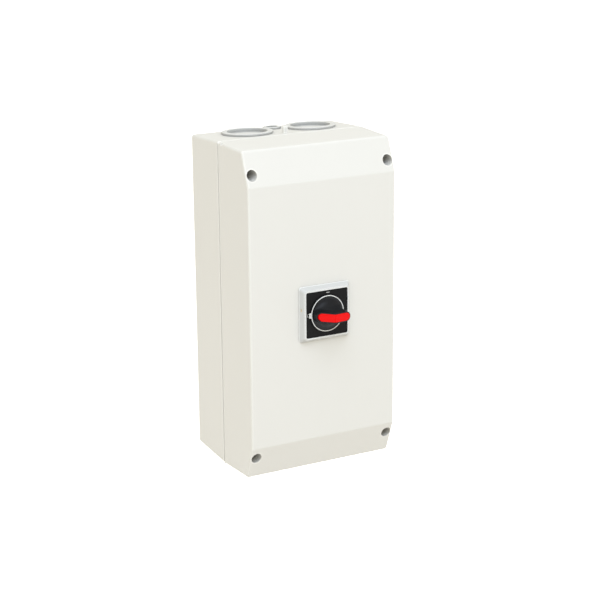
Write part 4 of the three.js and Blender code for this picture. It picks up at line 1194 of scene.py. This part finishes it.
class ISOLATOR_OT_padlock_slide(bpy.types.Operator):
    """Red slide along the grip's crest, with a web that holds the padlock hole"""

    bl_idname = "isolator.padlock_slide"
    bl_label = "Padlock Slide"

    def execute(self, context):
        sizes, colours = context.scene.isolator_handle, context.scene.isolator_colours
        half = sizes.slide_width / 2
        left, right = SLIDE.left + 1.0 * MM, SLIDE.right
        nose, blunt = 2.4 * MM, 1.9 * MM
        bend, groove, proud, soft = 0.8 * MM, 0.9 * MM, 0.4 * MM, 0.45 * MM
        steps = 12
        arc = np.linspace(0, 1, steps + 1)
        from_left = left + nose * arc
        to_right = right - half * (1 - np.sin(arc * np.pi / 2))
        heel_part = np.linspace(from_left[-1], sizes.kink - bend, 7)[1:]
        tip_part = np.linspace(sizes.kink + bend, to_right[0], 12)[:-1]
        along = np.concatenate([from_left, heel_part, [sizes.kink], tip_part, to_right])
        width = np.full(len(along), half)
        width[: steps + 1] = blunt + (half - blunt) * arc**0.8
        width[-steps - 1 :] = 0.5 * MM + (half - 0.5 * MM) * np.cos(arc * np.pi / 2)
        tops = INLAY_FACE + crest_height(sizes, along) + proud
        tops[len(from_left) + len(heel_part)] -= groove
        rings = []
        for x, reach, top in zip(along, width, tops):
            bottom = top - SLIDE_THICK
            corner = min(soft, 0.4 * reach)
            section = softened(
                [
                    (0, bottom),
                    (reach, bottom),
                    (reach, top),
                    (-reach, top),
                    (-reach, bottom),
                    (-NEARLY_ZERO, bottom),
                ],
                [0.3 * corner, corner, corner, 0.3 * corner],
                3,
            )
            points = [np.full(len(section), x), -section[:, 1], section[:, 0] + AXIS_Z]
            rings.append(np.stack(points, -1))
        piece = mesh_object("slide_bar", Form().add(np.array(rings)))
        low, high = INLAY_FACE + WEB_LOW, INLAY_FACE + sizes.tip - 0.4 * SLIDE_THICK
        web = framed_rings(
            [(0.3 * MM, low), (0, low + 0.3 * MM), (0, high)],
            lambda inset, _: outline(
                WEB_WIDTH - 2 * inset, WEB_THICK - 2 * inset, 0.5 * MM, WEB_X, AXIS_Z, 3
            ),
        )
        cut_away(piece, Form().add(web), keep=True)
        padlock_radius, half_run = 3.2 * MM, 6 * MM
        hole = Form().add(rod(padlock_radius, -half_run, half_run, sides=48))
        turn = Matrix.Rotation(math.pi / 2, 4, "X")
        hole_at = INLAY_FACE + sizes.crest - 7 * MM
        hole.moved(Matrix.Translation((WEB_X, -hole_at, AXIS_Z)) @ turn)
        cut_away(piece, hole)
        dressed(piece, colours, "slide_red", "padlock_slide", sharp_above=30)
        return {"FINISHED"}


class ISOLATOR_OT_pointer_ring(bpy.types.Operator):
    """White ring round the knob's skirt with a small pointer tab"""

    bl_idname = "isolator.pointer_ring"
    bl_label = "Pointer Ring"

    def execute(self, context):
        colours = context.scene.isolator_colours
        outer, inner = RING.height / 2, RING.height / 2 - 1.0 * MM
        tab_half, tab_reach = 3 * MM, -RING.left

        def rim(turn):
            """The ring's outside, pushed out to a flat-ended tab at its left."""
            along, side = -np.cos(turn), np.abs(np.sin(turn))
            tab = np.minimum(tab_reach / np.maximum(along, 1e-6), tab_half / np.maximum(side, 1e-6))
            return np.where(along > 0, np.maximum(outer, tab), outer)

        sides = 360
        soft = 0.2 * MM
        rings = [
            standing(polar(rim, sides, 0, AXIS_Z), RING.back),
            standing(polar(rim, sides, 0, AXIS_Z), RING.front - soft),
            standing(polar(lambda turn: rim(turn) - soft, sides, 0, AXIS_Z), RING.front),
            standing(circle(inner + soft, sides, 0, AXIS_Z), RING.front),
            standing(circle(inner, sides, 0, AXIS_Z), RING.front - soft),
            standing(circle(inner, sides, 0, AXIS_Z), RING.back),
        ]
        piece = mesh_object("ring_band", Form().add(np.array(rings), closed=True))
        dressed(piece, colours, "handle_white", "pointer_ring")
        return {"FINISHED"}


class ISOLATOR_OT_stem(bpy.types.Operator):
    """Parts on the knob's axis: stem, sealing ring and the handle plate's gasket"""

    bl_idname = "isolator.stem"
    bl_label = "Stem"

    def execute(self, context):
        colours = context.scene.isolator_colours
        self.tube(colours)
        self.seals(colours)
        return {"FINISHED"}

    def tube(self, colours):
        """A tube with a groove for the clip and a square socket for the shaft in its back."""
        radius, sides = STEM.width / 2, 96
        clip = Place("stem_clip")
        clip_play, groove = 0.1 * MM, 1.3 * MM
        line = softened(
            [
                (radius, STEM.back),
                (radius, clip.back - clip_play),
                (radius - groove, clip.back - clip_play),
                (radius - groove, clip.front + clip_play),
                (radius, clip.front + clip_play),
                (radius, STEM.front),
            ],
            0.15 * MM,
        )
        half, middle = 4.4 * MM, 0.3 * MM
        turns = np.arange(sides) * 2 * np.pi / sides
        along = np.maximum(np.abs(np.cos(turns)), NEARLY_ZERO)
        side = np.maximum(np.abs(np.sin(turns)), NEARLY_ZERO)
        socket_at = np.minimum(half / along, half / side)
        socket = np.stack([socket_at * np.cos(turns), AXIS_Z + socket_at * np.sin(turns)], -1)
        centre = np.array([0, AXIS_Z])
        depth = min(Place("drive_shaft").front + 1.0 * MM, STEM.front - 1.5 * MM)
        rings = [
            standing(centre + (socket - centre) * (middle / half), depth),
            standing(socket, depth),
            standing(socket, STEM.back),
            standing(circle(radius - 0.5 * MM, sides, 0, AXIS_Z), STEM.back),
        ]
        chamfer = 0.4 * MM
        outside = [
            [radius, STEM.back + 0.5 * MM],
            line[1:-1],
            [radius, STEM.front - chamfer],
            [radius - chamfer, STEM.front],
        ]
        rings += list(turned_rings(np.vstack(outside), sides, 0, AXIS_Z))
        piece = mesh_object("stem_tube", Form().add(np.array(rings)))
        dressed(piece, colours, "knob_black", "knob_stem")

    def seals(self, colours):
        """The round sealing ring on the stem and the flat gasket behind the plate."""
        ring = Place("stem_oring")
        cord = (ring.front - ring.back) / 2
        angle = np.linspace(0, 2 * np.pi, 25)[:-1]
        middle, out = (ring.back + ring.front) / 2, ring.width / 2 - cord
        profile = np.stack([out + cord * np.cos(angle), middle + cord * np.sin(angle)], -1)
        rings = turned_rings(profile, 96, 0, AXIS_Z)
        piece = mesh_object("stem_seal", Form().add(rings, closed=True))
        dressed(piece, colours, "seal_rubber", "stem_oring")
        pad = Place("handle_gasket")
        edge = 0.25 * MM
        inner_radius, outer_radius = 14.8 * MM, pad.width / 2
        profile = [
            (outer_radius - edge, pad.back),
            (outer_radius, pad.back + edge),
            (outer_radius, pad.front - edge),
            (outer_radius - edge, pad.front),
            (inner_radius + edge, pad.front),
            (inner_radius, pad.front - edge),
            (inner_radius, pad.back + edge),
            (inner_radius + edge, pad.back),
        ]
        rings = turned_rings(profile, 128, pad.x, pad.z)
        piece = mesh_object("plate_seal", Form().add(rings, closed=True))
        dressed(piece, colours, "seal_rubber", "handle_gasket")


class ISOLATOR_OT_switch(bpy.types.Operator):
    """Rounded edges and finishes for the plate, the switch and the earth bar inside"""

    bl_idname = "isolator.switch"
    bl_label = "Switch"

    def execute(self, context):
        colours = context.scene.isolator_colours
        slots = {part["node"]: part["material_slot"] for part in frame["record"]["subparts"]}
        narrow = 8 * MM
        for node in NODES:
            piece = frame["nodes"][node]
            if piece.hide_render or not isinstance(piece.data, bpy.types.Mesh):
                continue
            piece.data.materials.clear()
            piece.data.materials.append(finish_named(slots[node], colours))
            weld = piece.modifiers.new("joined corners", "WELD")
            weld.merge_threshold = 0.01 * MM
            edges = piece.modifiers.new("rounded edges", "BEVEL")
            edges.width = 0.25 * MM if Place(node).width > narrow else 0.12 * MM
            edges.segments = 2
            edges.limit_method = "ANGLE"
            edges.angle_limit = math.radians(35)
            edges.harden_normals = True
        return {"FINISHED"}


def print_white():
    """Pad-printed marking ink, a little uneven."""
    finish = Finish("mark_ink")
    patch = finish.noise(finish.place(), 0.6 * MM, 3.0)
    colour = finish.blend(patch, (0.34, 0.34, 0.34, 1), (0.46, 0.46, 0.45, 1))
    return finish.done(colour, 0.5 + 0.1 * (patch - 0.5), finish.bumps(patch, 0.005 * MM))


class ISOLATOR_OT_stage(bpy.types.Operator):
    """Pale floor, soft lights and the camera"""

    bl_idname = "isolator.stage"
    bl_label = "Stage"

    def execute(self, context):
        settings = context.scene.isolator_stage
        scene = context.scene
        lowest = min(Place(node).bottom for node in NODES)
        reach, gap = 60.0, 0.05 * MM
        corners = ((-reach, -reach), (reach, -reach), (reach, reach), (-reach, reach))
        mesh = bpy.data.meshes.new("floor")
        mesh.from_pydata([(x, y, lowest - gap) for x, y in corners], [], [(0, 1, 2, 3)])
        floor = bpy.data.objects.new("floor", mesh)
        scene.collection.objects.link(floor)
        finish = Finish("floor_paint")
        cloud = finish.noise(finish.place(), 300 * MM, 3.0)
        colour = finish.blend(cloud, shaded(settings.floor, 0.985), shaded(settings.floor, 1.0))
        material = finish.done(
            colour,
            0.85 + 0.05 * (cloud - 0.5),
            finish.bumps(cloud, 0.05 * MM),
            Specular_IOR_Level=0.0,
            Emission_Color=(1, 1, 1, 1),
            Emission_Strength=settings.floor_glow,
        )
        mesh.materials.append(material)
        floor.visible_diffuse = floor.visible_shadow = False
        scene.world = self.sky(settings)
        self.lamp("key_panel", settings, at=(-0.55, -2.1, 2.53), size=2.4)
        self.camera(scene, settings)
        scene.view_settings.view_transform = "Standard"
        scene.view_settings.look = "None"
        return {"FINISHED"}

    def sky(self, settings):
        """Even light from all round, dimmer from below the horizon."""
        finish = Finish("studio", bpy.data.worlds)
        ray = finish.node("ShaderNodeTexCoord", output="Generated")
        height = finish.node("ShaderNodeSeparateXYZ", inputs={"Vector": ray}, output="Z")
        above = shaded(settings.sky_colour, settings.sky)
        below = shaded(settings.sky_colour, settings.ground)
        light = finish.blend(finish.ramp(height, -0.3, 0.3), below, above)
        background = finish.node("ShaderNodeBackground", inputs={"Color": light})
        output = finish.tree.nodes.new("ShaderNodeOutputWorld")
        finish.tree.links.new(background.socket, output.inputs["Surface"])
        return finish.material

    def lamp(self, name, settings, at, size):
        """A square soft panel that faces the middle of the object."""
        light = bpy.data.lights.new(name, "AREA")
        light.energy, light.size, light.color = settings.key, size, settings.key_colour
        lamp = bpy.data.objects.new(name, light)
        lamp.location = at
        lamp.rotation_euler = (-Vector(at)).to_track_quat("-Z", "Y").to_euler()
        bpy.context.scene.collection.objects.link(lamp)

    def camera(self, scene, settings):
        """Looks down to the right from the front left, with a slight roll."""
        yaw, pitch, roll = (math.radians(angle) for angle in (28.497, 15.983, -0.498))
        level = math.cos(pitch)
        forward = Vector((math.sin(yaw) * level, math.cos(yaw) * level, -math.sin(pitch)))
        right = Vector((math.cos(yaw), -math.sin(yaw), 0))
        up = right.cross(forward)
        rolled_right = right * math.cos(roll) + up * math.sin(roll)
        rolled_up = up * math.cos(roll) - right * math.sin(roll)
        turn = Matrix((rolled_right, rolled_up, -forward)).transposed()
        lens = bpy.data.cameras.new("camera")
        lens.lens, lens.sensor_width, lens.clip_end = settings.lens, 36.0, 200.0
        camera = bpy.data.objects.new("camera", lens)
        camera.matrix_world = Matrix.Translation((-0.911885, -1.770791, 0.545905)) @ turn.to_4x4()
        scene.collection.objects.link(camera)
        scene.camera = camera


# The sidebar panel and registration

OPERATORS = (
    ISOLATOR_OT_base,
    ISOLATOR_OT_cover,
    ISOLATOR_OT_cover_gasket,
    ISOLATOR_OT_entry_plugs,
    ISOLATOR_OT_screws,
    ISOLATOR_OT_handle_plate,
    ISOLATOR_OT_handle_inlay,
    ISOLATOR_OT_pointer_ring,
    ISOLATOR_OT_knob,
    ISOLATOR_OT_padlock_slide,
    ISOLATOR_OT_stem,
    ISOLATOR_OT_switch,
    ISOLATOR_OT_stage,
)
GROUPS = {
    "isolator_shell": ShellSizes,
    "isolator_handle": HandleSizes,
    "isolator_colours": FinishColours,
    "isolator_stage": StageSettings,
}


class ISOLATOR_PT_sidebar(bpy.types.Panel):
    """Lists the isolator's operators and settings"""

    bl_idname = "ISOLATOR_PT_sidebar"
    bl_label = "Isolator"
    bl_space_type = "VIEW_3D"
    bl_region_type = "UI"
    bl_category = "Isolator"

    def draw(self, context):
        for operator in OPERATORS:
            self.layout.operator(operator.bl_idname)
        for name, group in GROUPS.items():
            box = self.layout.box()
            box.label(text=group.__doc__)
            for setting in group.__annotations__:
                box.prop(getattr(context.scene, name), setting)


def register():
    for kind in (*GROUPS.values(), *OPERATORS, ISOLATOR_PT_sidebar):
        bpy.utils.register_class(kind)
    for name, group in GROUPS.items():
        setattr(bpy.types.Scene, name, PointerProperty(type=group))


def unregister():
    for name in GROUPS:
        delattr(bpy.types.Scene, name)
    for kind in reversed((*GROUPS.values(), *OPERATORS, ISOLATOR_PT_sidebar)):
        bpy.utils.unregister_class(kind)


def main():
    register()
    bpy.ops.isolator.base()
    bpy.ops.isolator.cover()
    bpy.ops.isolator.cover_gasket()
    bpy.ops.isolator.entry_plugs()
    bpy.ops.isolator.screws()
    bpy.ops.isolator.handle_plate()
    bpy.ops.isolator.handle_inlay()
    bpy.ops.isolator.pointer_ring()
    bpy.ops.isolator.knob()
    bpy.ops.isolator.padlock_slide()
    bpy.ops.isolator.stem()
    bpy.ops.isolator.switch()
    bpy.ops.isolator.stage()


if __name__ == "__main__":
    main()
